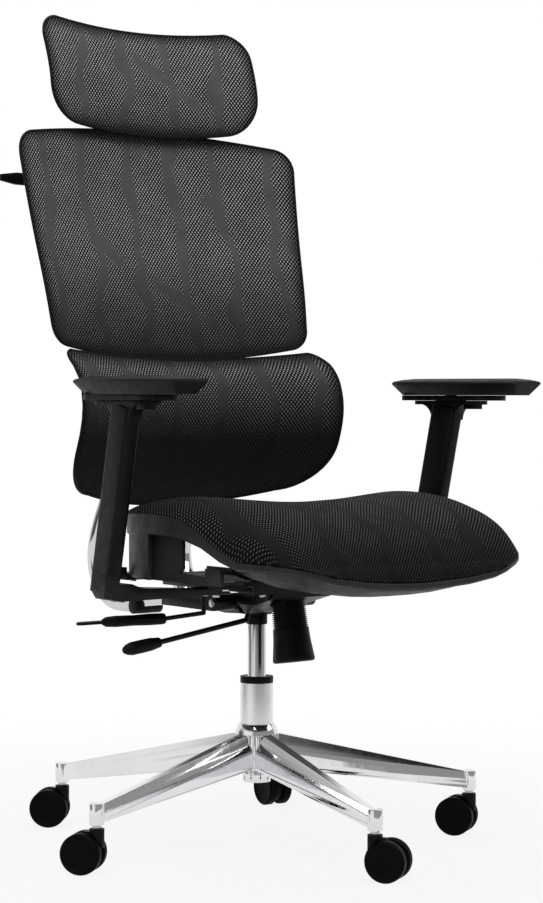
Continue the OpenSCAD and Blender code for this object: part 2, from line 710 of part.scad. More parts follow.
// Share of its full height that the mesh has at Y: it rolls over the front edge within roll_l
roll_l = 26;
function front_roll(y) = let (k = max(0, 1 - (y + seat_front) / roll_l)) sqrt(max(0, 1 - k * k));
function seat_top_z(u, y, w) = let (
        side = edge_z(w, y) + gap,
        mid = min(side, edge_z(0, -seat_front) + gap + max(0, y + seat_front) * 2),
        base = mid + (side - mid) * u * u,
        crown = max(curve(y, crest_keys), side + 1) - curve(y, sag_keys) * pow(1 - u * u, 1.5),
        top = base + (crown - base) * front_roll(y))
    max(base, top - (top - base) * pow(abs(u), 11));
function seat_row(y) = let (w = seat_half(y) - 0.5,
    us = [for (j = [0 : seat_cols]) sin(90 * (1 - 2 * j / seat_cols))])
    concat([for (u = us) [u * w, y, seat_top_z(u, y, w) + mesh_t]],
        [for (j = [seat_cols : -1 : 0]) [us[j] * w, y, seat_top_z(us[j], y, w)]]);
seat_ends = [0.4, 4, 12, 24, 44, 70];

module seat_mesh() color(FABRIC) {
    mid = [for (i = [1 : 10]) -seat_front + 70 + (seat_front + seat_rear - 140) * i / 11];
    skin([for (y = concat([for (d = seat_ends) d - seat_front], mid,
            [for (i = [5 : -1 : 0]) seat_rear - seat_ends[i]]))
        seat_row(y)]);
}

module seat_screws() color(STEEL) {
    for (s = [-1, 1], y = [-199, 31]) translate([s * (half_w - 40), y, pan_z - 3]) cylinder(h = 3, r = 5);
}

// ---------------------------------------------------------------- recline levers and polished bars

tang_y = 118;                           // where the bars' flat tongues meet the recline levers
barrel_y = 187;                         // middle of the barrel at the front end of each bar
barrel_z = mech_z + 2;
barrel_r = 12;
barrel_l = 50;
bend_y = 243;
bend_z = mech_z + 74;
bend_mid = bend_r - bar_d / 2;
upright_lean = 13.8;
bar_top_z = 640;
arc_steps = 12;
arc_from = -100;
arc_to = upright_lean;
// Path of a bar's middle: forward run, bend, upright that closes in towards the spine
function bar_arc() = [for (i = [0 : arc_steps]) let (t = arc_from + (arc_to - arc_from) * i / arc_steps)
    [bar_x, bend_y + bend_mid * cos(t), bend_z + bend_mid * sin(t)]];
upright_y = bend_y + bend_mid * cos(arc_to);
upright_z = bend_z + bend_mid * sin(arc_to);
function upright(z) = let (k = (z - upright_z) / (bar_top_z - upright_z))
    [bar_x - 33 * k * k * (3 - 2 * k), upright_y - (z - upright_z) * tan(upright_lean), z];
function bar_path() = concat([[bar_x, barrel_y + 4, barrel_z + 1]], bar_arc(),
    [for (k = [1 : 8]) upright(upright_z + (bar_top_z - upright_z) * k / 8)]);

// Side view of the flat tongue that runs from a bar's end through the barrel to the lever
module bar_tongue(d) {
    polygon([[tang_y - d, recline_z - 10 - d], [tang_y - d, recline_z + d],
        [barrel_y + 20, barrel_z + 6 + d], [barrel_y + 20, barrel_z - 5 - d]]);
}

module back_bars() color(CHROME) {
    difference() {
        union() {
            mirror_pair() {
                oval_tube(bar_path(), bar_w, bar_d);
                along_x(bar_x - 15, bar_x + 15) bar_tongue(0);
            }
            bar_bridge();
        }
        spine_seat(0);
    }
}

// Cross piece that joins the two uprights and holds the spine's foot
bridge_y = upright(bar_top_z).y;
module bar_bridge() {
    at_bridge() linear_extrude(52, center = true) round_rect(100, bar_d, 10);
}

// Frame of the cross piece: origin at its middle, +Z along the uprights
module at_bridge() {
    translate([0, bridge_y + 16 * tan(upright_lean), bar_top_z - 16]) rotate([upright_lean, 0, 0]) children();
}

module spine_seat(d) {
    at_spine() cube([spine_w + 2 * d, spine_d + 2 * d, 40], center = true);
}

module recline_levers() color(BLACK) {
    for (s = [-1, 1]) difference() {
        along_x(s * bar_x - 19, s * bar_x + 19) union() {
            translate([recline_y, recline_z]) circle(12);
            polygon([[recline_y, recline_z + 12], [recline_y, recline_z - 12], [tang_y - 30, recline_z - 11],
                [tang_y, recline_z - 11], [tang_y, recline_z + 3], [tang_y - 30, recline_z + 5]]);
        }
        translate([s * bar_x, recline_y, recline_z]) rotate([0, 90, 0])
            cylinder(h = 60, r = pin_r + run, center = true);
    }
}

// Barrels that cover the joint between the bars and their tongues
module pivot_caps() color(BLACK) {
    mirror_pair() difference() {
        translate([bar_x, barrel_y, barrel_z]) rotate([0, 90, 0])
            cylinder(h = barrel_l, r = barrel_r, center = true);
        along_x(bar_x - 15 - 0.1, bar_x + 15 + 0.1) bar_tongue(0.1);
        translate([bar_x, barrel_y + 1 + 20, barrel_z]) cube([bar_w + 1, 40, 40], center = true);
    }
}

// ---------------------------------------------------------------- spine, carriage and coat hanger

spine_lean = 11;
spine_w = 52;
spine_d = 16;
spine_foot = [0, bridge_y + 4, bar_top_z];
spine_dir = [0, sin(spine_lean), cos(spine_lean)];
spine_l = 330;

// Frame of the spine: origin at its foot, +Z along it
module at_spine(s = 0) {
    translate(spine_foot + spine_dir * s) rotate([-spine_lean, 0, 0]) children();
}

module back_spine() color(BLACK) at_spine(-20) linear_extrude(spine_l + 20) round_rect(spine_w, spine_d, 4);

module back_bolts() color(STEEL) {
    for (s = [-1, 1]) at_bridge() translate([s * 14, bar_d / 2, 0]) rotate([-90, 0, 0])
        cylinder(h = 4, r = 6, $fn = 6);
}

carriage_s = 190;
carriage_l = 90;
carriage_t = 7;
head_post_w = 28;
post_d = 8;
post_off = spine_d / 2 + carriage_t + post_d / 2 + 1;
module back_carriage() color(BLACK) {
    difference() {
        at_spine(carriage_s) linear_extrude(carriage_l)
            union() {
                round_rect(spine_w + 2 * carriage_t, spine_d + 2 * carriage_t, 6);
                translate([0, post_off]) round_rect(head_post_w + 10, post_d + 10, 3);
            }
        at_spine(carriage_s - cut) linear_extrude(carriage_l + 2 * cut) {
            round_rect(spine_w + 2 * gap, spine_d + 2 * gap, 4);
            translate([0, post_off]) square([head_post_w + 2 * gap, post_d + 2 * gap], center = true);
        }
    }
}

// ---------------------------------------------------------------- curved panels

// A panel spec holds: low z, high z, low half width, high half width, low and high corner radii,
// forward wrap of the wings, rise of the middle of the top edge, drop of the middle of the bottom edge,
// and keys of the front surface's Y at the middle against z. Each shape is drawn at its usual low and
// high z, and its keys stretch to the panel's own
function stretch(keys, from, to) =
    [for (k = keys) [to[0] + (k[0] - from[0]) * (to[1] - to[0]) / (from[1] - from[0]), k[1]]];
// Corner radii that leave a tenth of the side straight on a low panel
function corners(r, side) = let (k = min(1, 0.9 * side / (r[0] + r[1]))) [r[0] * k, r[1] * k];
back_keys = [[740, 214], [766, 222], [850, 241], [950, 269], [1040, 291], [1115, 306]];
lumbar_keys = [[520, 232], [545, 206], [580, 180], [620, 160], [665, 150], [705, 157], [730, 174], [752,
    204]];
head_keys = [[1104, 284], [1140, 288], [1190, 292], [1240, 307], [1285, 328]];
back_spec = [back_low_z, back_top_z, back_low_w, back_top_w, corners([30, 38], back_top_z - back_low_z),
    46, 17, 20, stretch(back_keys, [764, 1098], [back_low_z, back_top_z])];
lumbar_spec = [lumbar_low_z, lumbar_top_z, lumbar_w, lumbar_w - 2,
    corners([74, 22], lumbar_top_z - lumbar_low_z), 52, -13, 22,
    stretch(lumbar_keys, [534, 756], [lumbar_low_z, lumbar_top_z])];
head_spec = [head_low_z, head_top_z, head_w - 2, head_w, corners([62, 40], head_top_z - head_low_z),
    26, -11, 10, stretch(head_keys, [1117, 1288], [head_low_z, head_top_z])];

function mid_z(s) = (s[0] + s[1]) / 2;
function panel_half(s, z) = let (k = (z - s[0]) / (s[1] - s[0]))
    s[2] + (s[3] - s[2]) * k - inset(z - s[0], s[4][0]) - inset(s[1] - z, s[4][1]);
// Height of a point of row z at the share u of the half width
function panel_z(s, z, u) = let (k = (z - mid_z(s)) / (s[1] - mid_z(s)))
    z + (1 - u * u) * (k > 0 ? k * s[6] : k * s[7]);
function skin_point(s, x, z) = [x, curve(z, s[8]) - s[5] * pow(x / max(s[2], s[3]), 2), z];
function panel_point(s, z, u) = skin_point(s, u * panel_half(s, z), panel_z(s, z, u));
function rows(s, n) = let (r = s[4]) concat(
    [for (k = [0 : 5]) s[0] + r[0] * (1 - cos(15 * k)) + 0.3 * (k == 0 ? 1 : 0)],
    [for (k = [0 : n]) s[0] + r[0] + (s[1] - s[0] - r[0] - r[1]) * k / n],
    [for (k = [5 : -1 : 0]) s[1] - r[1] * (1 - cos(15 * k)) - 0.3 * (k == 0 ? 1 : 0)]);

// Skin of a panel: front surface from left to right, then the back surface from right to left
module panel_skin(s, cols, n, t) {
    skin([for (z = rows(s, n)) concat(
        [for (j = [0 : cols]) panel_point(s, z, 1 - 2 * j / cols)],
        [for (j = [cols : -1 : 0]) panel_point(s, z, 1 - 2 * j / cols) + [0, t, 0]])]);
}

// Outline of a panel as points, anticlockwise from the lower right corner
function outline(s, n, cols) = let (zs = rows(s, n), last = len(zs) - 1) concat(
    [for (z = zs) panel_point(s, z, 1)],
    [for (j = [1 : cols - 1]) panel_point(s, zs[last], 1 - 2 * j / cols)],
    [for (i = [last : -1 : 0]) panel_point(s, zs[i], -1)],
    [for (j = [cols - 1 : -1 : 1]) panel_point(s, zs[0], 1 - 2 * j / cols)]);

// Rim behind a panel's skin: a section of width w and depth d along the outline, d0 behind the surface
module panel_rim(s, n, cols, w, d, d0) {
    pts = outline(s, n, cols);
    m = len(pts);
    sec = [[-2, 0], [-w + 3, 0], [-w, 3], [-w + 3, d], [-9, d], [-5, d - 4]];
    skin([for (i = [0 : m - 1])
        let (a = pts[(i + m - 1) % m], b = pts[(i + 1) % m], t = unit([b.x - a.x, 0, b.z - a.z]),
            out = [t.z, 0, -t.x])
        [for (q = sec) skin_point(s, pts[i].x + out.x * q[0], pts[i].z + out.z * q[0]) + [0, d0 + q[1], 0]]],
        loop = true);
}

// Rib across the back of a panel at height z, between the shares u0 and u1 of its half width
module panel_rib(s, z, u0, u1, h, d0, d, n = 10) {
    skin([for (k = [0 : n]) let (u = u0 + (u1 - u0) * k / n, p = panel_point(s, z, u))
        concat([for (v = [-1, 0, 1]) skin_point(s, p.x, p.z + v * h / 2) + [0, d0, 0]],
            [for (v = [1, 0, -1]) skin_point(s, p.x, p.z + v * h / 2) + [0, d0 + d, 0]])]);
}

rim_gap = mesh_t + 0.6;
rib_z = spine_foot.z + (carriage_s + carriage_l / 2) * cos(spine_lean);

module back_mesh() color(FABRIC) panel_skin(back_spec, 14, 8, mesh_t);
module back_frame() color(BLACK) {
    panel_rim(back_spec, 8, 14, 16, 13, rim_gap);
    panel_rib(back_spec, rib_z, -0.97, 0.97, 40, rim_gap, 9);
    back_arms();
}

// Blocks that carry the rib on the carriage
back_arm_l = 43;
module back_arms() {
    for (s = [-1, 1]) at_spine(carriage_s + carriage_l / 2)
        translate([s * 26 - 5, -spine_d / 2 - carriage_t - back_arm_l, -17]) cube([10, back_arm_l, 34]);
}

module lumbar_mesh() color(FABRIC) panel_skin(lumbar_spec, 14, 6, mesh_t);
lumbar_z = 648;                         // height of the pad's pin
lumbar_pin_y = 224;
lug_r = 11;
lumbar_rib_y = curve(lumbar_z, lumbar_spec[8]) + rim_gap + 5;
module lumbar_frame() color(BLACK) {
    panel_rim(lumbar_spec, 6, 14, 16, 12, rim_gap);
    panel_rib(lumbar_spec, lumbar_z - 4, -0.95, 0.95, 50, rim_gap + 1, 8);
    difference() {
        for (s = [-1, 1]) along_x(s * 24 - 5, s * 24 + 5) union() {
            translate([lumbar_pin_y, lumbar_z]) circle(lug_r);
            translate([lumbar_rib_y, lumbar_z - lug_r]) square([lumbar_pin_y - lumbar_rib_y, 2 * lug_r]);
        }
        translate([0, lumbar_pin_y, lumbar_z]) rotate([0, 90, 0])
            cylinder(h = 80, r = 5 + run, center = true);
    }
}

module lumbar_bracket() color(BLACK) difference() {
    union() {
        along_x(-18.5, 18.5) translate([lumbar_pin_y, lumbar_z]) circle(10);
        difference() {
            along_x(-18.5, 18.5) translate([lumbar_pin_y, lumbar_z - 22]) square([60, 32]);
            at_bridge() translate([0, 60 - bar_d / 2, 0]) cube([200, 120, 300], center = true);
            along_x(-20, 20) translate([lumbar_pin_y - 9, lumbar_z - 30]) circle(20);
        }
        at_bridge() translate([0, -bar_d / 2 - 3, 2]) cube([62, 6, 40], center = true);
    }
    translate([0, lumbar_pin_y, lumbar_z]) rotate([0, 90, 0]) cylinder(h = 80, r = 5 + run, center = true);
}

module lumbar_pin() color(STEEL) translate([0, lumbar_pin_y, lumbar_z]) rotate([0, 90, 0])
    cylinder(h = 60, r = 5, center = true);

// Coat hanger: a bowed bar behind the shoulders on two arms from the carriage
hanger_half = 246;
hanger_z = 1031;
hanger_y = 347;
module coat_hanger() color(BLACK) {
    skin([for (k = [-8 : 8]) let (x = hanger_half * k / 8, y = hanger_y + 22 * (1 - pow(k / 8, 2)),
            e = abs(k) == 8 ? 0.55 : 1)
        [for (j = [0 : 7]) let (t = 45 * j + 22.5) [x, y - 6 * e * oval(cos(t), 0.6),
            hanger_z + 10 * e * oval(sin(t), 0.6)]]]);
    for (s = [-1, 1]) hull() {
        translate([s * 26, hanger_y + 20, hanger_z]) cube([12, 8, 14], center = true);
        at_spine(carriage_s + carriage_l - 16)
            translate([s * 26, spine_d / 2 + carriage_t + 3, 0]) cube([12, 6, 30], center = true);
    }
}

// ---------------------------------------------------------------- headrest

head_pin_share = 75 / 171;              // of the headrest's height, from its low corners
head_pin_z = head_low_z + (head_top_z - head_low_z) * head_pin_share;
head_pin_y = 344;
head_lug_r = 10;
head_rib_y = curve(head_pin_z, head_spec[8]) + rim_gap + 2;
spine_back = [0, cos(spine_lean), -sin(spine_lean)];
function post_at(s, d) = let (p = spine_foot + spine_dir * s + spine_back * (post_off + d)) [p.y, p.z];
post_from = carriage_s + 8;
post_bend = carriage_s + carriage_l + 55;
module headrest_post() color(BLACK) difference() {
    union() {
        along_x(-head_post_w / 2, head_post_w / 2) polygon([post_at(post_from, -post_d / 2),
            post_at(post_from, post_d / 2),
            post_at(post_bend, post_d / 2), [head_pin_y + 7, head_pin_z - 4], [head_pin_y - 1,
                head_pin_z - 4],
            post_at(post_bend, -post_d / 2)]);
        translate([0, head_pin_y, head_pin_z]) rotate([0, 90, 0]) cylinder(h = 30, r = 11, center = true);
    }
    translate([0, head_pin_y, head_pin_z]) rotate([0, 90, 0]) cylinder(h = 80, r = 5 + run, center = true);
}

module headrest_pin() color(STEEL) translate([0, head_pin_y, head_pin_z]) rotate([0, 90, 0])
    cylinder(h = 54, r = 5, center = true);

module headrest_frame() color(BLACK) {
    panel_rim(head_spec, 5, 14, 14, 9, rim_gap);
    panel_rib(head_spec, head_pin_z, -0.94, 0.94, 34, rim_gap, 8);
    difference() {
        for (s = [-1, 1]) along_x(s * 20 - 4, s * 20 + 4) union() {
            translate([head_pin_y, head_pin_z]) circle(head_lug_r);
            translate([head_rib_y, head_pin_z - head_lug_r]) square([head_pin_y - head_rib_y,
                2 * head_lug_r]);
        }
        translate([0, head_pin_y, head_pin_z]) rotate([0, 90, 0])
            cylinder(h = 80, r = 5 + run, center = true);
    }
}

module headrest_mesh() color(FABRIC) panel_skin(head_spec, 14, 5, mesh_t);

// ---------------------------------------------------------------- arms

arm_y = -43;            // post axis at the foot joint
arm_z = 450;
sleeve_low = -18;       // along the post axis, from the foot joint
sleeve_l = 246;
bracket_low = plate_z - 11;

// Frame of a post: side is -1 for the sitter's right; +Z along the leaning post
module at_post(side) {
    translate([side * arm_x, arm_y, arm_z]) rotate([0, 0, side * arm_toe]) rotate([arm_lean, 0, 0])
        children();
}

// L-shaped bracket: foot under the seat plate, arm outwards, elbow and stem up the post
module arm_bracket(side) color(BLACK) {
    mirror([side > 0 ? 1 : 0, 0, 0]) {
        difference() {
            translate([0, arm_y + 4, 0]) rotate([90, 0, 0]) linear_extrude(44, center = true)
                polygon([[-100, plate_z], [-150, plate_z], [-arm_x + 48, plate_z + 7], [-arm_x + 30,
                    plate_z + 14],
                    [-arm_x - 8, plate_z + 14], [-arm_x - 12, plate_z + 4], [-arm_x - 4, bracket_low + 3],
                    [-arm_x + 12, bracket_low], [-140, plate_z - 9], [-100, plate_z - 9]]);
            for (y = [-14, 14]) translate([-118, arm_y + 4 + y, plate_z - 10]) cylinder(h = 12, r = 3 + run);
        }
    }
    at_post(side) {
        translate([0, 0, sleeve_low - 34]) linear_extrude(34 - gap) round_rect_yx(post_l, post_w);
        translate([0, 0, sleeve_low - 34]) linear_extrude(190) round_rect_yx(post_l - 16, post_w - 10);
    }
}

// Post section: long side along Y
module round_rect_yx(l, w) {
    rotate(90) round_rect(l, w, w / 2 - 3);
}

module arm_bolts() color(STEEL) {
    for (s = [-1, 1], y = [-14, 14]) translate([s * 118, arm_y + 4 + y, plate_z - 13])
        cylinder(h = 4, r = 6, $fn = 6);
}

flange_z = 674;         // underside of the flange on top of the sleeve
flange_t = 6;
slider_z = flange_z + flange_t + gap;
slider_t = 8;
pad_z = slider_z + slider_t + gap;
pad_y = -131;
top_y = arm_y - (flange_z - arm_z) * tan(arm_lean);

// Frame of an arm's level top parts: origin above the post, turned outwards
module at_top(side, z) {
    translate([side * arm_x, 0, 0]) translate([0, arm_y, 0]) rotate([0, 0, side * arm_toe])
        translate([0, -arm_y, z]) children();
}

// Outer sleeve: hollow post that flares into a flange
module arm_sleeve(side) color(BLACK) difference() {
    union() {
        at_post(side) translate([0, 0, sleeve_low]) linear_extrude(sleeve_l) round_rect_yx(post_l, post_w);
        at_top(side, flange_z) linear_extrude(flange_t) translate([0, top_y - 6]) round_rect_yx(138, 46);
        sleeve_flare(side);
    }
    at_post(side) translate([0, 0, sleeve_low - cut]) linear_extrude(210)
        round_rect_yx(post_l - 16 + 2 * gap, post_w - 10 + 2 * gap);
    at_top(side, slider_z - gap) translate([-60, -300, 0]) cube([120, 400, 60]);
    at_top(side, flange_z + flange_t - key_h) translate([-key_w / 2 - gap, top_y - 36 - 27, 0])
        cube([key_w + 2 * gap, 114, 10]);
    button_slot(side);
}

// Coves between the post and its flange, front and rear
flare_r = 24;
module sleeve_flare(side) {
    at_top(side, 0) difference() {
        along_x(-post_w / 2 + 2, post_w / 2 - 2) translate([top_y, flange_z - flare_r])
            polygon([[-post_l / 2 - flare_r + 2, flare_r + 1], [post_l / 2 + flare_r - 4, flare_r + 1],
                [post_l / 2 + 4, 0], [-post_l / 2 + 4, 0]]);
        for (s = [-1, 1]) translate([0, top_y + s * (post_l / 2 + flare_r - 2) + 2, flange_z - flare_r])
            rotate([0, 90, 0]) cylinder(h = 60, r = flare_r, center = true);
    }
}

key_w = 8;
key_h = 3.2;
boss_r = 9;
boss_h = 6;
pad_turn_y = -100;
// Height button: a small key under the front of the flange
button_y = top_y - 54;
module button_slot(side) {
    at_top(side, flange_z - 1) translate([-9 - gap, button_y - 12 - gap, -cut])
        cube([18 + 2 * gap, 24 + 2 * gap, 5.6]);
}
module arm_button(side) color(BLACK) at_top(side, flange_z)
    translate([-9, button_y - 12, -7]) cube([18, 24, 7.5]);

module arm_slider(side) color(BLACK) at_top(side, slider_z) {
    linear_extrude(slider_t) translate([0, -105]) round_rect_yx(200, 62);
    // Key below, which runs in the flange's slot, and boss above, on which the pad turns
    translate([-key_w / 2, top_y - 36, -key_h]) cube([key_w, 60, key_h + 1]);
    translate([0, pad_turn_y, 0]) cylinder(h = slider_t + boss_h, r = boss_r);
}

// Plan of a pad, k = 1 for full size: a long hexagon with soft corners
pad_keys = [[-1, 0.58], [-0.93, 0.68], [-0.35, 1], [0.45, 1], [0.93, 0.78], [1, 0.62]];
pad_steps = [-1, -0.97, -0.9, -0.65, -0.35, 0, 0.45, 0.75, 0.93, 1];
function pad_ring(d, z) = concat(
    [for (v = pad_steps) [-pad_w / 2 * lookup(v, pad_keys) + d, v * (pad_l / 2 - d), z]],
    [for (i = [len(pad_steps) - 1 : -1 : 0]) let (v = pad_steps[i])
        [pad_w / 2 * lookup(v, pad_keys) - d, v * (pad_l / 2 - d), z]]);
module arm_pad(side) color(BLACK) difference() {
    at_top(side, pad_z) translate([0, pad_y, 0]) skin([pad_ring(13, 0), pad_ring(1.5, pad_t * 0.6),
        pad_ring(0, pad_t * 0.7), pad_ring(2, pad_t * 0.82),
        pad_ring(12, pad_t * 0.93), pad_ring(26, pad_t)]);
    at_top(side, pad_z - cut) translate([0, pad_turn_y, 0]) cylinder(h = boss_h + cut + gap,
        r = boss_r + run);
}

// ---------------------------------------------------------------- drawing

star_base();
base_cap();
caster_stems();
column_tube();
column_guide();
lift_rod();
rod_collar();
mech_housing();
mech_pins();
tension_knob();
tension_bolt();
tension_spring();
height_lever();
height_grip();
seat_plate();
slide_rails();
slide_lever();
slide_grip();
seat_pan();
seat_frame();
seat_mesh();
seat_screws();
recline_levers();
back_bars();
pivot_caps();
back_spine();
back_bolts();
lumbar_bracket();
lumbar_pin();
lumbar_frame();
lumbar_mesh();
back_carriage();
back_frame();
back_mesh();
coat_hanger();
headrest_post();
headrest_pin();
headrest_frame();
headrest_mesh();
arm_bracket(-1);  // arm_bracket_r
arm_bracket(1);  // arm_bracket_l
arm_bolts();
arm_sleeve(-1);  // arm_sleeve_r
arm_sleeve(1);  // arm_sleeve_l
arm_button(-1);  // arm_button_r
arm_button(1);  // arm_button_l
arm_slider(-1);  // arm_slider_r
arm_slider(1);  // arm_slider_l
arm_pad(-1);  // arm_pad_r
arm_pad(1);  // arm_pad_l
caster_hood(0);  // caster_hood_1
caster_hood(1);  // caster_hood_2
caster_hood(2);  // caster_hood_3
caster_hood(3);  // caster_hood_4
caster_hood(4);  // caster_hood_5
caster_wheels(0);  // caster_wheels_1
caster_wheels(1);  // caster_wheels_2
caster_wheels(2);  // caster_wheels_3
caster_wheels(3);  // caster_wheels_4
caster_wheels(4);  // caster_wheels_5
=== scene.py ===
"""Dresses a packed swivel office chair: finishes, woven skins, smooth forms and a plain studio set.

Everything is made in metres in the chair's own frame: +Z up, the sitter faces -Y, the origin on the
floor under the column. The panels, the seat and the bars keep their sizes in millimetres.
"""

from __future__ import annotations

import json
import logging
import math
from dataclasses import dataclass
from enum import Enum
from typing import Sequence

import bpy
from mathutils import Matrix, Vector

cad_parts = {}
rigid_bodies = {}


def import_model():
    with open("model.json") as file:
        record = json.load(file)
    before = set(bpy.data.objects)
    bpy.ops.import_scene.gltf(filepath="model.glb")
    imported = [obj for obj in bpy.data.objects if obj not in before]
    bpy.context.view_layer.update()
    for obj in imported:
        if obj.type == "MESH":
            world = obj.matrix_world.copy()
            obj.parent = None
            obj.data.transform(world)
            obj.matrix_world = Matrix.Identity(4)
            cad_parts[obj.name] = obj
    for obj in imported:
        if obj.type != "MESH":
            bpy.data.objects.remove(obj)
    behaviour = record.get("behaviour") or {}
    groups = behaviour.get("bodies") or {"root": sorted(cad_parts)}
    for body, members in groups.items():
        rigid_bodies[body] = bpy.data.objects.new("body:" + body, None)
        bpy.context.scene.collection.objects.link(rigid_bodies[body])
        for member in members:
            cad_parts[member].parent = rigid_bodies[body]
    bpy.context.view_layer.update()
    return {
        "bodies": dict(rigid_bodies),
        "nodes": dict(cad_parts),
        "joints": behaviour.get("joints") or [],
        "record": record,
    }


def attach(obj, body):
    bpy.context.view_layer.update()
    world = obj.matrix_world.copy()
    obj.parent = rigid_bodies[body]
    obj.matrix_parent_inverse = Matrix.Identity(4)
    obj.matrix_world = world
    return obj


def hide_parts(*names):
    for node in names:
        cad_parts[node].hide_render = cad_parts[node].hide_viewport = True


log = logging.getLogger("chair")

MM = 0.001
Rgb = tuple[float, float, float]
Axes = tuple[float, float, float]
Span = tuple[float, float]
Keys = Sequence[tuple[float, float]]
Ring = list[Vector]
Grid = list[list[Vector]]
Socket = bpy.types.NodeSocket
WHITE: Rgb = (1.0, 1.0, 1.0)


# ------------ curves


def smooth_curve(x: float, keys: Keys) -> float:
    """Value at x of a smooth curve through keys.

    Args:
        x: Where to read the curve.
        keys: Pairs of place and value, with rising places.

    Returns:
        The curve's value at x, carried on past its ends.
    """
    last = len(keys) - 2
    i = 0
    while i < last and x > keys[i + 1][0]:
        i += 1

    def slope(k: int) -> float:
        """Slope of the curve at key k."""
        a, b = max(k - 1, 0), min(k + 1, len(keys) - 1)
        return (keys[b][1] - keys[a][1]) / (keys[b][0] - keys[a][0])

    width = keys[i + 1][0] - keys[i][0]
    t = (x - keys[i][0]) / width
    m0, m1 = slope(i) * width, slope(i + 1) * width
    return (
        keys[i][1] * (2 * t**3 - 3 * t**2 + 1)
        + m0 * (t**3 - 2 * t**2 + t)
        + keys[i + 1][1] * (3 * t**2 - 2 * t**3)
        + m1 * (t**3 - t**2)
    )


def corner_inset(distance: float, radius: float) -> float:
    """How far a round corner pulls in.

    Args:
        distance: Distance from the end of the form.
        radius: Radius of the corner.

    Returns:
        The inset at that distance, 0 past the corner.
    """
    if distance >= radius:
        return 0.0
    return radius - math.sqrt(max(radius**2 - (radius - distance) ** 2, 0.0))


def clamp(value: float, low: float = 0.0) -> float:
    """Value held between low and 1."""
    return min(max(value, low), 1.0)


def shaded(tone: Rgb, share: float) -> Rgb:
    """Tone times a share."""
    return tuple(c * share for c in tone)


# ------------ meshes


def new_mesh(
    name: str,
    points: Sequence[Vector],
    faces: Sequence[Sequence[int]],
    uv: Sequence[tuple[float, float]] | None = None,
    tone: Sequence[float] | None = None,
) -> bpy.types.Mesh:
    """Makes a smooth-shaded mesh.

    Args:
        name: Name of the mesh.
        points: Places of its corners.
        faces: Corner numbers of each face.
        uv: Weave coordinates of each corner, in millimetres.
        tone: Share of the colour kept at each corner, 0 to 1; the net finish paints shade where it
            is low.

    Returns:
        The mesh.
    """
    mesh = bpy.data.meshes.new(name)
    mesh.from_pydata([tuple(p) for p in points], [], [tuple(f) for f in faces])
    mesh.validate()
    mesh.polygons.foreach_set("use_smooth", [True] * len(mesh.polygons))
    if uv is not None:
        layer = mesh.uv_layers.new(name="weave")
        for loop in mesh.loops:
            layer.data[loop.index].uv = uv[loop.vertex_index]
    if tone is not None:
        attribute = mesh.attributes.new("tone", "FLOAT", "POINT")
        attribute.data.foreach_set("value", list(tone))
    mesh.update()
    return mesh


def loft(name: str, rings: Sequence[Ring], loop: bool = False) -> bpy.types.Mesh:
    """Joins rings of points into a closed skin.

    Args:
        name: Name of the mesh.
        rings: Rings with the same number of points.
        loop: Whether the last ring joins the first; otherwise both are capped.

    Returns:
        The mesh.
    """
    count = len(rings[0])
    points = [p for ring in rings for p in ring]
    faces: list[list[int]] = []
    for i in range(len(rings) if loop else len(rings) - 1):
        k = (i + 1) % len(rings)
        for j in range(count):
            n = (j + 1) % count
            faces.append([i * count + j, i * count + n, k * count + n, k * count + j])
    if not loop:
        faces.append(list(range(count))[::-1])
        faces.append([(len(rings) - 1) * count + j for j in range(count)])
    mesh = new_mesh(name, points, faces)
    turn_outwards(mesh)
    return mesh


def turn_outwards(mesh: bpy.types.Mesh) -> None:
    """Flips the faces of a closed mesh where its signed volume is negative."""
    volume = 0.0
    for face in mesh.polygons:
        corners = [mesh.vertices[i].co for i in face.vertices]
        for a, b in zip(corners[1:], corners[2:]):
            volume += corners[0].dot(a.cross(b))
    if volume < 0:
        mesh.flip_normals()


def closed_tube(name: str, path: Sequence[Vector], radius: float, sides: int) -> bpy.types.Mesh:
    """Sweeps a round section along a closed path.

    Args:
        name: Name of the mesh.
        path: Middle points of the tube, the last beside the first.
        radius: Radius of the section.
        sides: Number of points in the section.

    Returns:
        The mesh.
    """
    rings: list[Ring] = []
    side = Vector((0.0, 1.0, 0.0))
    for i, point in enumerate(path):
        along = (path[(i + 1) % len(path)] - path[i - 1]).normalized()
        side = (side - along * side.dot(along)).normalized()
        up = along.cross(side)
        angles = [2 * math.pi * j / sides for j in range(sides)]
        rings.append([point + radius * (side * math.cos(a) + up * math.sin(a)) for a in angles])
    return loft(name, rings, loop=True)


def two_sided(
    name: str,
    grid: Grid,
    thickness: Vector,
    uv: Sequence[Sequence[tuple[float, float]]],
    tone: Sequence[Sequence[float]],
) -> bpy.types.Mesh:
    """Makes a thin closed sheet from a grid of points on its front.

    Args:
        name: Name of the mesh.
        grid: Rows of points on the front surface.
        thickness: Step from the front surface to the back.
        uv: Weave coordinates of each point, in millimetres.
        tone: Share of the colour kept at each point; the net finish paints shade where it is low.

    Returns:
        The mesh.
    """
    rows, cols = len(grid), len(grid[0])
    front = [p for row in grid for p in row]
    half = len(front)
    points = front + [p + thickness for p in front]
    faces: list[list[int]] = []
    for i in range(rows - 1):
        for j in range(cols - 1):
            a, d = i * cols + j, (i + 1) * cols + j
            faces.append([a, a + 1, d + 1, d])
            faces.append([half + d, half + d + 1, half + a + 1, half + a])
    border = (
        list(range(cols - 1))
        + [i * cols + cols - 1 for i in range(rows - 1)]
        + [(rows - 1) * cols + j for j in range(cols - 1, 0, -1)]
        + [i * cols for i in range(rows - 1, 0, -1)]
    )
    for a, b in zip(border, border[1:] + border[:1]):
        faces.append([b, a, half + a, half + b])
    both_uv = [q for row in uv for q in row] * 2
    both_tone = [q for row in tone for q in row] * 2
    mesh = new_mesh(name, points, faces, both_uv, both_tone)
    turn_outwards(mesh)
    return mesh


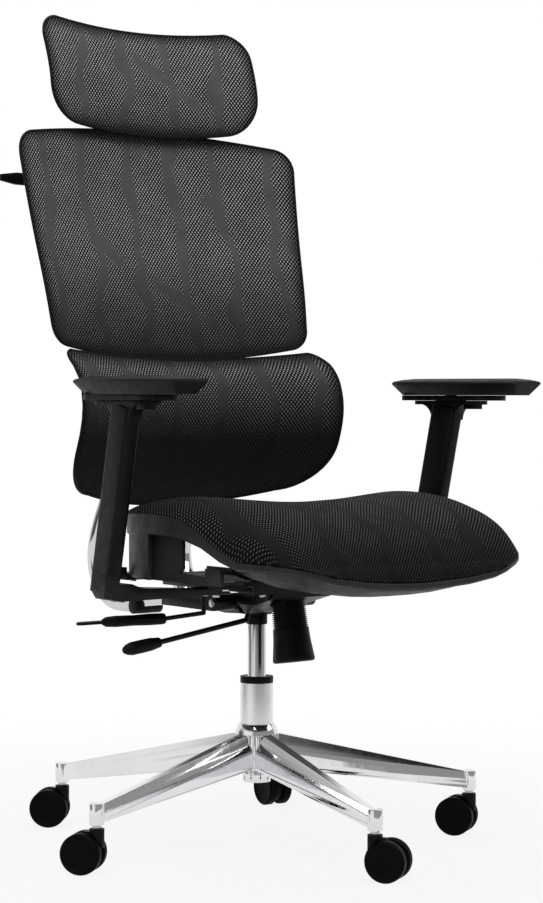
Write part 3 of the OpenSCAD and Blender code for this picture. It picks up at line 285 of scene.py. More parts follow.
def add_piece(
    mesh: bpy.types.Mesh,
    finish: bpy.types.Material,
    body: str,
    replaces: Sequence[str] = (),
) -> bpy.types.Object:
    """Puts a mesh in the scene as a piece of the chair.

    Args:
        mesh: The piece's mesh, whose name the piece takes.
        finish: Its material.
        body: The CAD body it moves with.
        replaces: CAD nodes it stands for.

    Returns:
        The new object.
    """
    piece = bpy.data.objects.new(mesh.name, mesh)
    bpy.context.scene.collection.objects.link(piece)
    mesh.materials.append(finish)
    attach(piece, body)
    if replaces:
        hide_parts(*replaces)
    log.info("%s rides on %s", piece.name, body)
    return piece


# ------------ finishes


class Nodes:
    """Nodes of one tree, with short ways to add and join them."""

    def __init__(self, tree: bpy.types.NodeTree) -> None:
        """Takes the tree to build in."""
        self.nodes = tree.nodes
        self.links = tree.links

    def add(self, kind: str, **settings: object) -> bpy.types.Node:
        """Adds a node of a kind and sets its properties."""
        node = self.nodes.new(kind)
        for key, value in settings.items():
            setattr(node, key, value)
        return node

    def feed(self, value: object, socket: Socket) -> None:
        """Joins an output to a socket, or sets the socket to a number or a colour."""
        if isinstance(value, Socket):
            self.links.new(value, socket)
        elif socket.type == "RGBA":
            socket.default_value = (*value, 1.0)
        else:
            socket.default_value = value

    def maths(self, operation: str, *values: object, use_clamp: bool = False) -> Socket:
        """Output of a Math node with its inputs fed in turn."""
        node = self.add("ShaderNodeMath", operation=operation, use_clamp=use_clamp)
        for value, socket in zip(values, node.inputs):
            self.feed(value, socket)
        return node.outputs[0]

    def fit(
        self,
        value: object,
        low: float,
        high: float,
        to_low: float = 0.0,
        to_high: float = 1.0,
    ) -> Socket:
        """Maps a value smoothly from one range to another.

        Args:
            value: Output to map.
            low: Value that gives to_low.
            high: Value that gives to_high.
            to_low: Start of the new range.
            to_high: End of the new range.

        Returns:
            The mapped output.
        """
        node = self.add("ShaderNodeMapRange", interpolation_type="SMOOTHSTEP")
        for item, socket in zip((value, low, high, to_low, to_high), node.inputs):
            self.feed(item, socket)
        return node.outputs[0]

    def mix(self, factor: object, a: object, b: object, blend: str = "MIX") -> Socket:
        """Colour between a and b by a factor, or another blend of the two."""
        node = self.add("ShaderNodeMix", data_type="RGBA", blend_type=blend)
        for item, socket in zip((factor, a, b), (node.inputs[0], node.inputs[6], node.inputs[7])):
            self.feed(item, socket)
        return node.outputs[2]

    def choose(self, factor: Socket, first: Socket, second: Socket) -> Socket:
        """Shader between two others by a factor."""
        node = self.add("ShaderNodeMixShader")
        for value, socket in zip((factor, first, second), node.inputs):
            self.feed(value, socket)
        return node.outputs[0]

    def split(self, vector: Socket) -> tuple[Socket, ...]:
        """The three parts of a vector."""
        node = self.add("ShaderNodeSeparateXYZ")
        self.feed(vector, node.inputs[0])
        return tuple(node.outputs)

    def ramp(self, value: Socket, stops: Keys) -> Socket:
        """Grey tone that follows a value.

        Args:
            value: Value to read, 0 to 1.
            stops: Pairs of value and grey tone.

        Returns:
            The ramp's colour.
        """
        node = self.add("ShaderNodeValToRGB")
        band = node.color_ramp
        while len(band.elements) < len(stops):
            band.elements.new(0.5)
        for element, (place, _) in zip(band.elements, stops):
            element.position = place
        for element, (_, tone) in zip(band.elements, stops):
            element.color = (tone, tone, tone, 1.0)
        self.feed(value, node.inputs[0])
        return node.outputs[0]


class Graph(Nodes):
    """Nodes of one material, round its principled shader."""

    def __init__(self, name: str) -> None:
        """Starts a material called name."""
        self.material = bpy.data.materials.new(name)
        self.material.use_nodes = True
        super().__init__(self.material.node_tree)
        self.shader = self.nodes["Principled BSDF"]

    def noise(
        self,
        place: Socket,
        scale: float,
        detail: float = 2.0,
        roughness: float = 0.5,
    ) -> Socket:
        """Noise about 0.5 at a place, with a scale in cells per unit and octaves of detail."""
        node = self.add("ShaderNodeTexNoise")
        self.feed(place, node.inputs["Vector"])
        self.feed(scale, node.inputs["Scale"])
        self.feed(detail, node.inputs["Detail"])
        self.feed(roughness, node.inputs["Roughness"])
        return node.outputs["Fac"]

    def vary(self, noise: Socket, low: float = 0.0, high: float = 1.0) -> Socket:
        """Stretches the range that noise mostly keeps to, from low to high."""
        return self.fit(noise, 0.3, 0.7, low, high)

    def wander(self, noise: Socket, reach: float) -> Socket:
        """Noise moved to zero, times a reach."""
        return self.maths("MULTIPLY", self.maths("SUBTRACT", noise, 0.5), reach)

    def checks(self, u: Socket, v: Socket, pitch_u: float, pitch_v: float) -> Socket:
        """Soft chequers from -1 to 1, each pitch_u wide across u and pitch_v long along v."""
        across = self.maths("COSINE", self.maths("MULTIPLY", u, math.pi / pitch_u))
        along = self.maths("COSINE", self.maths("MULTIPLY", v, math.pi / pitch_v))
        return self.maths("MULTIPLY", across, along)

    def place(self, stretch: Axes = (1.0, 1.0, 1.0)) -> Socket:
        """Place on the object in metres, each axis times its stretch."""
        coordinates = self.add("ShaderNodeTexCoord")
        mapping = self.add("ShaderNodeMapping")
        self.feed(coordinates.outputs["Object"], mapping.inputs["Vector"])
        mapping.inputs["Scale"].default_value = stretch
        return mapping.outputs["Vector"]

    def bump(self, height: Socket, distance: float, strength: float = 1.0) -> None:
        """Raises the surface by a height of up to distance metres."""
        node = self.add("ShaderNodeBump")
        self.feed(strength, node.inputs["Strength"])
        self.feed(distance, node.inputs["Distance"])
        self.feed(height, node.inputs["Height"])
        self.feed(node.outputs["Normal"], self.shader.inputs["Normal"])

    def set(self, **values: object) -> None:
        """Feeds the shader's sockets, named with _ for a blank."""
        for key, value in values.items():
            self.feed(value, self.shader.inputs[key.replace("_", " ")])


@dataclass(frozen=True)
class Moulded:
    """Moulded plastic or powder coat: even tone, fine grain, faint mottling.

    Grain, mottle and rub are cells per metre, and depth is in metres. Mottling multiplies the tone
    by mottle_span, and rubbing moves the roughness by rub_span.
    """

    name: str
    tone: Rgb
    roughness: float = 0.45
    grain: float = 1400.0
    depth: float = 0.00006
    specular: float = 0.5
    mottle: float = 22.0
    mottle_span: Span = (0.8, 1.22)
    rub: float = 60.0
    rub_span: Span = (-0.05, 0.07)

    def make(self) -> bpy.types.Material:
        """Builds the material."""
        graph = Graph(self.name)
        place = graph.place()
        mottle = graph.vary(graph.noise(place, self.mottle, detail=3.0))
        rub = graph.noise(place, self.rub, detail=4.0)
        tones = [shaded(self.tone, share) for share in self.mottle_span]
        graph.set(
            Base_Color=graph.mix(mottle, *tones),
            Roughness=graph.vary(rub, *(self.roughness + change for change in self.rub_span)),
            Specular_IOR_Level=self.specular,
        )
        graph.bump(graph.noise(place, self.grain), self.depth)
        return graph.material


@dataclass(frozen=True)
class Polished:
    """Chrome plate with a slight ripple and faint wiping marks.

    Cloud and ripple are cells per metre, wipes are cells per metre along each axis over three, and
    ripple_depth is in metres. The roughness runs from low to high over wipe_span of the wipes.
    """

    name: str
    tone: Rgb = (0.76, 0.765, 0.78)
    low: float = 0.05
    high: float = 0.13
    cloud: float = 9.0
    cloud_share: float = 0.94
    wipes: Axes = (30.0, 30.0, 4.0)
    wipe_span: Span = (0.35, 0.7)
    ripple: float = 14.0
    ripple_depth: float = 0.0006
    ripple_strength: float = 0.35

    def make(self) -> bpy.types.Material:
        """Builds the material."""
        graph = Graph(self.name)
        place = graph.place()
        cloud = graph.vary(graph.noise(place, self.cloud))
        wipes = graph.noise(graph.place(self.wipes), scale=3.0, detail=4.0, roughness=0.6)
        graph.set(
            Base_Color=graph.mix(cloud, shaded(self.tone, self.cloud_share), self.tone),
            Metallic=1.0,
            Roughness=graph.fit(wipes, *self.wipe_span, self.low, self.high),
        )
        ripple = graph.noise(place, self.ripple, detail=1.0)
        graph.bump(ripple, self.ripple_depth, self.ripple_strength)
        return graph.material


@dataclass(frozen=True)
class Ground:
    """Ground or zinc-plated steel with fine marks round or along it, in cells per metre."""

    name: str
    tone: Rgb
    roughness: float
    marks: Axes
    mark_share: float = 0.94
    mark_span: Span = (-0.03, 0.05)
    depth: float = 0.00001
    strength: float = 0.05

    def make(self) -> bpy.types.Material:
        """Builds the material."""
        graph = Graph(self.name)
        marks = graph.noise(graph.place(self.marks), scale=1.0, detail=3.0)
        graph.set(
            Base_Color=graph.mix(graph.vary(marks), shaded(self.tone, self.mark_share), self.tone),
            Metallic=1.0,
            Roughness=graph.vary(marks, *(self.roughness + change for change in self.mark_span)),
        )
        graph.bump(marks, self.depth, self.strength)
        return graph.material


@dataclass(frozen=True)
class Woven:
    """Open woven net: staggered threads and holes, with smooth close-woven bands in the same tone.

    Lengths are in millimetres of cloth, noise scales in cells per millimetre. A band runs along the
    net every band_every, sways and steps aside, and covers twice band_share of that width, with
    edges that fade over band_edge. Slanted bands cross it where a noise is over slant_from. The
    roughness is that of a hole and that of the threads. The light tone of the threads is partly
    the yarn's and partly painted sheen of the yarn crossings.
    """

    name: str
    thread_and_sheen: Rgb = (0.53, 0.53, 0.535)
    hole: Rgb = (0.003, 0.003, 0.0033)
    band: Rgb = (0.082, 0.082, 0.083)
    pitch_u: float = 3.05
    pitch_v: float = 3.8
    fine_pitch: float = 0.75
    thread_from: float = -0.1
    specular: float = 0.08
    sheen: float = 0.012
    relief: float = 0.0005
    band_every: float = 88.0
    band_share: float = 0.085
    band_edge: Span = (-0.01, 0.05)
    band_tones: Span = (0.8, 1.2)
    sway: float = 60.0
    sway_scale: float = 0.009
    step: float = 26.0
    step_scale: float = 0.021
    slant: float = 0.62
    slant_every: float = 230.0
    slant_share: float = 0.04
    slant_scale: float = 0.013
    slant_from: Span = (0.48, 0.58)
    haze: float = 0.05
    haze_scale: float = 0.25
    shade: float = 0.18
    shade_scale: float = 0.02
    roughness: Span = (0.9, 0.62)
    fine_relief: float = 0.2

    def bands(self, graph: Graph, u: Socket, v: Socket, place: Socket) -> Socket:
        """Mask of the close-woven bands, 1 on a band, at u across and v along, both in place."""
        sway = graph.wander(graph.noise(place, self.sway_scale, 1.0), self.sway)
        step = graph.wander(graph.noise(place, self.step_scale, 0.0), self.step)
        haze = graph.wander(graph.noise(place, self.haze_scale), self.haze)
        upright = graph.maths("ADD", graph.maths("ADD", u, sway), step)
        aslant = graph.maths("MULTIPLY", u, self.slant)
        slanted = graph.maths("ADD", aslant, graph.maths("ADD", v, step))
        masks = []
        for run, every, share in (
            (upright, self.band_every, self.band_share),
            (slanted, self.slant_every, self.slant_share),
        ):
            part = graph.maths("FRACT", graph.maths("DIVIDE", run, every))
            off = graph.maths("ABSOLUTE", graph.maths("SUBTRACT", part, 0.5))
            hazy = graph.maths("ADD", off, haze)
            edge = [share + shift for shift in self.band_edge]
            masks.append(graph.fit(hazy, *edge, 1.0, 0.0))
        here = graph.fit(graph.noise(place, self.slant_scale, 0.0), *self.slant_from)
        return graph.maths("MAXIMUM", masks[0], graph.maths("MULTIPLY", masks[1], here))

    def make(self) -> bpy.types.Material:
        """Builds the material."""
        graph = Graph(self.name)
        place = graph.add("ShaderNodeUVMap", uv_map="weave").outputs["UV"]
        u, v, _ = graph.split(place)
        net = graph.checks(u, v, self.pitch_u, self.pitch_v)
        fine = graph.checks(u, v, self.fine_pitch, self.fine_pitch)
        bands = self.bands(graph, u, v, place)
        # Light threads over dark holes: the threads' light tone is partly painted sheen.
        open_net = graph.mix(graph.fit(net, self.thread_from, 1.0), self.hole, self.thread_and_sheen)
        tones = [shaded(self.band, share) for share in self.band_tones]
        close = graph.mix(graph.fit(fine, -1.0, 1.0), *tones)
        shade = graph.vary(graph.noise(place, self.shade_scale), high=self.shade)
        colour = graph.mix(shade, graph.mix(bands, open_net, close), self.hole)
        # The tone attribute paints shade: where it is low, the colour goes to the hole colour.
        tone = graph.add("ShaderNodeAttribute", attribute_name="tone").outputs["Fac"]
        graph.set(
            Base_Color=graph.mix(tone, self.hole, colour),
            Roughness=graph.fit(net, -1.0, 1.0, *self.roughness),
            Specular_IOR_Level=self.specular,
            Sheen_Weight=self.sheen,
            Sheen_Roughness=0.5,
        )
        raised = graph.maths("MULTIPLY", net, graph.maths("SUBTRACT", 1.0, bands))
        height = graph.maths("ADD", raised, graph.maths("MULTIPLY", fine, self.fine_relief))
        graph.bump(height, self.relief)
        return graph.material


@dataclass(frozen=True)
class Painted:
    """Matt paint of the studio floor: mid-toned to the lamps, white to the eye and in reflections.

    Round the chair, out to near_edge metres, the white keeps a share of the shadow; from far_edge
    on it is plain.
    """

    name: str
    tone: float = 0.5
    speckle: float = 0.02
    speckle_scale: float = 40.0
    near: float = 0.88
    near_edge: float = 0.35
    far_edge: float = 1.6

    def make(self) -> bpy.types.Material:
        """Builds the material."""
        graph = Graph(self.name)
        place = graph.place()
        speck = graph.noise(place, self.speckle_scale, detail=3.0)
        graph.set(
            Base_Color=graph.mix(speck, (self.tone,) * 3, (self.tone + self.speckle,) * 3),
            Roughness=0.9,
            Specular_IOR_Level=0.0,
        )
        path = graph.add("ShaderNodeLightPath").outputs
        direct = graph.maths("ADD", path["Is Camera Ray"], path["Is Glossy Ray"])
        seen = graph.maths("ADD", direct, path["Is Transmission Ray"], use_clamp=True)
        x, y, _ = graph.split(place)
        squares = [graph.maths("MULTIPLY", run, run) for run in (x, y)]
        away = graph.maths("SQRT", graph.maths("ADD", *squares))
        plain = graph.fit(away, self.near_edge, self.far_edge, self.near, 1.0)
        white = graph.add("ShaderNodeEmission").outputs[0]
        share = graph.maths("MULTIPLY", seen, plain)
        surface = graph.nodes["Material Output"].inputs["Surface"]
        graph.feed(graph.choose(share, graph.shader.outputs[0], white), surface)
        return graph.material


class Finish(Enum):
    """The finishes of the chair."""

    CHROME = Polished("polished_chrome")
    BAR = Polished("bar_chrome", (0.62, 0.625, 0.64), 0.04, 0.1)
    ROD = Ground("ground_rod", (0.72, 0.73, 0.745), 0.2, (60.0, 60.0, 2400.0))
    SATIN = Ground("satin_tube", (0.86, 0.865, 0.88), 0.4, (60.0, 60.0, 1600.0))
    ZINC = Ground("zinc_steel", (0.56, 0.57, 0.58), 0.34, (900.0, 900.0, 900.0))
    BLACK = Moulded("black_plastic", (0.0050, 0.0050, 0.0053), 0.42, specular=0.09)
    FRAME = Moulded("frame_plastic", (0.0045, 0.0045, 0.0048), 0.5, specular=0.13)
    GREY = Moulded("grey_plastic", (0.019, 0.019, 0.020), 0.42, 1100.0, specular=0.14)
    PAD = Moulded("soft_pad", (0.0088, 0.0088, 0.0092), 0.46, 700.0, 0.0001, specular=0.09)
    COAT = Moulded("powder_coat", (0.0058, 0.0058, 0.0062), 0.36, 900.0, 0.00005, specular=0.16)
    TYRE = Moulded("caster_tread", (0.0030, 0.0030, 0.0032), 0.5, 1000.0, specular=0.045)
    WELT = Moulded("welt", (0.004, 0.004, 0.0042), 0.6, 1800.0, 0.0001, specular=0.1)
    NET = Woven("woven_net")
    SEAT_NET = Woven(
        "seat_weave",
        # the seat's light threads are partly painted sheen, dimmed by the seat's tone
        thread_and_sheen=(0.95, 0.95, 0.955),
        pitch_u=2.8,
        pitch_v=3.4,
        thread_from=0.25,
        specular=0.05,
        sheen=0.0,
    )


class Paintbox:
    """Makes each finish once and hands it out."""

    def __init__(self) -> None:
        """Starts with no finish made."""
        self.made: dict[Finish, bpy.types.Material] = {}

    def get(self, finish: Finish) -> bpy.types.Material:
        """The material of a finish."""
        if finish not in self.made:
            self.made[finish] = finish.value.make()
        return self.made[finish]


SLOT_FINISH: dict[str, Finish] = {
    "chrome": Finish.CHROME,
    "zinc": Finish.ZINC,
    "rod": Finish.ROD,
    "black_plastic": Finish.BLACK,
    "grey_plastic": Finish.GREY,
    "pad": Finish.PAD,
    "tyre": Finish.TYRE,
    "black_metal": Finish.COAT,
    "mesh": Finish.NET,
}


# ------------ woven panels


@dataclass
class MeshPanel:
    """A curved frame with a woven net stretched over its front.

    Heights and depths are in millimetres. A panel is low_half wide each way at its foot, high_half
    at its top, and its corners are round. Its middle follows keys, pairs of height and depth, its
    sides are wrapped forwards, and its top edge rises and its foot drops towards the middle.
    """

    name: str
    body: str
    net_node: str
    frame_node: str
    low: float
    high: float
    low_half: float
    high_half: float
    low_corner: float
    high_corner: float
    wrap: float
    rise: float
    drop: float
    keys: Keys
    # Tone: darkest up to dark_below, full over dark_over above it, a painted shade never under
    # least_light; over the frame, from rim_start over rim_width, it keeps down to rim_light; light
    # scales it all.
    dark_below: float
    dark_over: float
    light: float = 1.0
    least_light: float = 0.07
    rim_start: float = 3.0
    rim_width: float = 16.0
    rim_light: float = 0.2
    thickness: float = 3.0
    hem: float = 0.2
    allowance: float = 1.04
    corner_steps: int = 12
    rows: int = 44
    cols: int = 72
    welt_radius: float = 2.6
    welt_sides: int = 10

    def half_width(self, z: float) -> float:
        """Half width of the panel in row z."""
        share = (z - self.low) / (self.high - self.low)
        straight = self.low_half + (self.high_half - self.low_half) * share
        foot = corner_inset(z - self.low, self.low_corner)
        return straight - foot - corner_inset(self.high - z, self.high_corner)

    def point(self, z: float, u: float) -> Vector:
        """Point of the front surface.

        Args:
            z: Row of the panel, in millimetres.
            u: Share of the half width, -1 to 1.

        Returns:
            The point, in metres.
        """
        middle = (self.low + self.high) / 2
        lift = (z - middle) / (self.high - middle)
        height = z + (1 - u * u) * lift * (self.rise if lift > 0 else self.drop)
        x = u * self.half_width(z)
        wing = self.wrap * (x / max(self.low_half, self.high_half)) ** 2
        return Vector((x, smooth_curve(height, self.keys) - wing, height)) * MM

    def across(self) -> list[float]:
        """Shares of the half width at which a row has its points."""
        return [-1 + 2 * j / self.cols for j in range(self.cols + 1)]

    def row_heights(self) -> list[float]:
        """Rows of the panel from its foot to its top, close together in its corners."""
        steps = self.corner_steps
        turns = [1 - math.cos(math.pi / 2 * k / steps) for k in range(steps)]
        foot = [self.low + self.low_corner * turn for turn in turns]
        top = [self.high - self.high_corner * turn for turn in reversed(turns)]
        foot[0] += self.hem
        top[-1] -= self.hem
        start, end = self.low + self.low_corner, self.high - self.high_corner
        return foot + [start + (end - start) * k / self.rows for k in range(self.rows + 1)] + top

    def grid(self) -> Grid:
        """Points of the front surface, row by row."""
        return [[self.point(z, u) for u in self.across()] for z in self.row_heights()]

    def tone(self, grid: Grid) -> list[list[float]]:
        """Share of the net's colour kept: less over the dark frame behind it, and less low on the
        panel, a painted shade.
        """
        shares = []
        for z, row in zip(self.row_heights(), grid):
            line = []
            for u, point in zip(self.across(), row):
                edge = min((1 - abs(u)) * self.half_width(z), z - self.low, self.high - z)
                rim = clamp((edge - self.rim_start) / self.rim_width)
                depth = (point.z / MM - self.dark_below) / self.dark_over
                over_rim = self.rim_light + (1 - self.rim_light) * rim
                line.append(over_rim * clamp(depth, self.least_light) * self.light)
            shares.append(line)
        return shares

    def stretch_net(self, grid: Grid, paint: Paintbox) -> None:
        """Makes the net over the points of its front, with its finish from paint."""
        middle = self.cols // 2
        along = [0.0]
        for a, b in zip(grid, grid[1:]):
            along.append(along[-1] + (b[middle] - a[middle]).length / MM)
        uv = [
            [(p.x / MM, v + (p.z - row[middle].z) / MM) for p in row]
            for row, v in zip(grid, along)
        ]
        through = Vector((0.0, self.thickness * MM, 0.0))
        mesh = two_sided(f"{self.name}_net", grid, through, uv, self.tone(grid))
        net = add_piece(mesh, paint.get(Finish.NET), self.body, [self.net_node])

    def sew_welt(self, grid: Grid, paint: Paintbox) -> None:
        """Makes the round welt that hems the net, with its finish from paint."""
        border = (
            [row[-1] for row in grid]
            + grid[-1][-2:0:-1]
            + [row[0] for row in reversed(grid)]
            + grid[0][1:-1]
        )
        inside = Vector((0.0, self.thickness * MM * 0.5, 0.0))
        path = [p + inside for p in border]
        welt = closed_tube(f"{self.name}_welt", path, self.welt_radius * MM, self.welt_sides)
        add_piece(welt, paint.get(Finish.WELT), self.body)

    def build(self, paint: Paintbox) -> None:
        """Makes the net and its welt, with finishes from paint."""
        grid = self.grid()
        self.stretch_net(grid, paint)
        self.sew_welt(grid, paint)


PANELS = (
    MeshPanel(
        name="upper_back",
        body="upper_back",
        net_node="back_mesh",
        frame_node="back_frame",
        low=764,
        high=1098,
        low_half=246,
        high_half=271,
        low_corner=30,
        high_corner=38,
        wrap=46,
        rise=17,
        drop=20,
        keys=((740, 214), (766, 222), (850, 241), (950, 269), (1040, 291), (1115, 306)),
        dark_below=725,
        dark_over=190,
    ),
    MeshPanel(
        name="lumbar",
        body="lumbar",
        net_node="lumbar_mesh",
        frame_node="lumbar_frame",
        low=534,
        high=756,
        low_half=253,
        high_half=251,
        low_corner=74,
        high_corner=22,
        wrap=52,
        rise=-13,
        drop=22,
        keys=(
            (520, 232), (545, 206), (580, 180), (620, 160),
            (665, 150), (705, 157), (730, 174), (752, 204),
        ),
        dark_below=610,
        dark_over=120,
        light=0.7,
    ),
    MeshPanel(
        name="headrest",
        body="headrest",
        net_node="headrest_mesh",
        frame_node="headrest_frame",
        low=1117,
        high=1288,
        low_half=201,
        high_half=203,
        low_corner=62,
        high_corner=40,
        wrap=26,
        rise=-11,
        drop=10,
        keys=((1104, 284), (1140, 288), (1190, 292), (1240, 307), (1285, 328)),
        dark_below=1095,
        dark_over=60,
    ),
)


# ------------ seat


@dataclass
class Seat:
    """The seat: a woven net stretched over a crowned frame with a moulded band round it.

    Lengths are in millimetres. The keys are pairs of place and height above floor: edge_keys goes
    round the outline from the middle of the front, crest_keys and sag_keys from front to rear.
    """

    width: float = 500.0
    front: float = -380.0
    rear: float = 100.0
    corner: float = 105.0
    rear_corner: float = 160.0
    floor: float = 412.0
    thickness: float = 3.0
    roll: float = 26.0
    tuck: float = 1.6
    lip: float = 1.0
    front_slope: float = 2.0
    sag_power: float = 1.5
    fall_power: int = 11
    margin: float = 0.4
    inset: float = 0.5
    allowance: float = 1.2
    slack: float = 1.001
    # Tone: light scales the whole net; low_light is painted shade up to low_height above floor,
    # fading over low_over, and front_light painted shade ahead of front_y, fading over front_over.
    light: float = 0.145
    low_light: float = 0.4
    low_height: float = 42.0
    low_over: float = 50.0
    front_light: float = 0.9
    front_y: float = -345.0
    front_over: float = 60.0
    rows: int = 110
    cols: int = 80
    edge_keys: Keys = (
        (0, 11), (77, 14), (145, 23), (200, 36), (250, 43), (310, 46), (334, 51), (375, 71),
        (417, 91), (460, 102), (530, 105), (600, 101), (700, 96),
    )
    crest_keys: Keys = (
        (-380, 14), (-362, 44), (-340, 70), (-308, 95), (-252, 117), (-200, 127), (-140, 131),
        (-85, 130), (0, 117), (60, 107), (100, 99),
    )
    sag_keys: Keys = ((-380, 0), (-300, 4), (-150, 16), (0, 18), (70, 6), (100, 0))

    def edge(self, x: float, y: float) -> float:
        """Height of the band's upper edge at a place on the seat's outline."""
        half = self.width / 2
        arc_x, arc_y = half - self.corner, self.front + self.corner
        end = arc_x + self.corner * math.pi / 2
        if y > arc_y:
            run = end + y - arc_y
        elif abs(x) <= arc_x:
            run = abs(x)
        else:
            run = arc_x + self.corner * math.atan2(abs(x) - arc_x, arc_y - y)
        return self.floor + smooth_curve(min(run, self.edge_keys[-1][0]), self.edge_keys)

    def half(self, y: float) -> float:
        """Half width of the seat at Y."""
        front = corner_inset(y - self.front, self.corner)
        return self.width / 2 - front - corner_inset(self.rear - y, self.rear_corner)

    def top(self, u: float, y: float, w: float) -> float:
        """Height of the net's top.

        Args:
            u: Share of the half width, -1 to 1.
            y: Place from front to rear.
            w: Half width of the net there.

        Returns:
            The height, at the band's edge tucked a little into the band.
        """
        side = self.edge(w, y) - self.tuck
        foot = self.edge(0.0, self.front) - self.tuck
        middle = min(side, foot + max(0.0, y - self.front) * self.front_slope)
        base = middle + (side - middle) * u * u
        crest = max(self.floor + smooth_curve(y, self.crest_keys), side + self.lip)
        crown = crest - smooth_curve(y, self.sag_keys) * (1 - u * u) ** self.sag_power
        ahead = max(0.0, 1 - (y - self.front) / self.roll)
        top = base + (crown - base) * math.sqrt(max(0.0, 1 - ahead * ahead))
        return max(base, top - (top - base) * abs(u) ** self.fall_power) + self.thickness

    def grid(self) -> Grid:
        """Points of the net's top, row by row from front to rear."""
        start, depth = self.front + self.margin, self.rear - self.front - 2 * self.margin
        grid = []
        for k in range(self.rows + 1):
            y = start + depth * (0.5 - 0.5 * math.cos(math.pi * k / self.rows))
            w = self.half(y) - self.inset
            turns = [math.sin(math.pi / 2 * (-1 + 2 * j / self.cols)) for j in range(self.cols + 1)]
            grid.append([Vector((u * w, y, self.top(u, y, w))) * MM for u in turns])
        return grid

    def tone(self, point: Vector) -> float:
        """Share of the net's colour kept: painted shade where it falls to its edge and at its
        front.
        """
        high = clamp((point.z / MM - self.floor - self.low_height) / self.low_over)
        back = clamp((point.y / MM - self.front_y) / self.front_over)
        by_height = self.low_light + (1 - self.low_light) * high
        return self.light * by_height * (self.front_light + (1 - self.front_light) * back)

    def build(self, paint: Paintbox) -> None:
        """Makes the net of the seat, with its finish from paint."""
        grid = self.grid()
        uv: list[list[tuple[float, float]]] = []
        along = [0.0] * (self.cols + 1)
        for i, row in enumerate(grid):
            if i:
                along = [v + (b - a).length / MM for v, a, b in zip(along, grid[i - 1], row)]
            uv.append([(p.x / MM, v) for p, v in zip(row, along)])
        tone = [[self.tone(p) for p in row] for row in grid]
        down = Vector((0.0, 0.0, -self.thickness * MM))
        mesh = two_sided("seat_net", grid, down, uv, tone)
        net = add_piece(mesh, paint.get(Finish.SEAT_NET), "seat", ["seat_mesh"])


# ------------ rigid parts


@dataclass
class Bars:
    """The two polished bars that bend up behind the seat.

    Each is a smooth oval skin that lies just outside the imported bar, so that the bend shows no
    facets. Lengths are in millimetres, angles in degrees.
    """

    x: float = 77.0
    width: float = 44.0
    depth: float = 28.0
    skin: float = 0.3
    bend_radius: float = 71.0
    bend_y: float = 243.0
    bend_z: float = 428.0
    bend_start: float = -100.0
    start_y: float = 191.0
    start_z: float = 357.0
    top_z: float = 640.0
    lean: float = 13.8
    gather: float = 33.0
    bend_steps: int = 48
    upright_steps: int = 24
    sides: int = 40
    roundness: float = 0.7

    def path(self) -> list[Vector]:
        """Middle line of the bar on the +X side, in millimetres."""
        points = [Vector((self.x, self.start_y, self.start_z))]
        for i in range(self.bend_steps + 1):
            turn = self.bend_start + (self.lean - self.bend_start) * i / self.bend_steps
            a = math.radians(turn)
            y = self.bend_y + self.bend_radius * math.cos(a)
            points.append(Vector((self.x, y, self.bend_z + self.bend_radius * math.sin(a))))
        foot = points[-1]
        slope = math.tan(math.radians(self.lean))
        for i in range(1, self.upright_steps + 1):
            k = i / self.upright_steps
            rise = (self.top_z - foot.z) * k
            x = self.x - self.gather * k * k * (3 - 2 * k)
            points.append(Vector((x, foot.y - rise * slope, foot.z + rise)))
        return points

    def section(self, path: list[Vector], i: int) -> Ring:
        """Oval section of the bar at point i of its path, in metres."""
        last = len(path) - 1
        along = (path[min(i + 1, last)] - path[max(i - 1, 0)]).normalized()
        side = along.cross(Vector((1.0, 0.0, 0.0))).normalized()
        wide = side.cross(along)
        half_width, half_depth = self.width / 2 + self.skin, self.depth / 2 + self.skin
        ring = []
        for j in range(self.sides):
            a = 2 * math.pi * (j + 0.5) / self.sides
            c, s = (
                math.copysign(abs(q) ** self.roundness, q) for q in (math.cos(a), math.sin(a))
            )
            ring.append((path[i] + wide * (half_width * c) - side * (half_depth * s)) * MM)
        return ring

    def build(self, paint: Paintbox) -> None:
        """Makes the bars, with their finish from paint."""
        path = self.path()
        sections = [self.section(path, i) for i in range(len(path))]
        for name, sign in (("bar_left", 1), ("bar_right", -1)):
            rings = [[Vector((sign * p.x, p.y, p.z)) for p in ring] for ring in sections]
            add_piece(loft(name, rings), paint.get(Finish.BAR), "back_support")


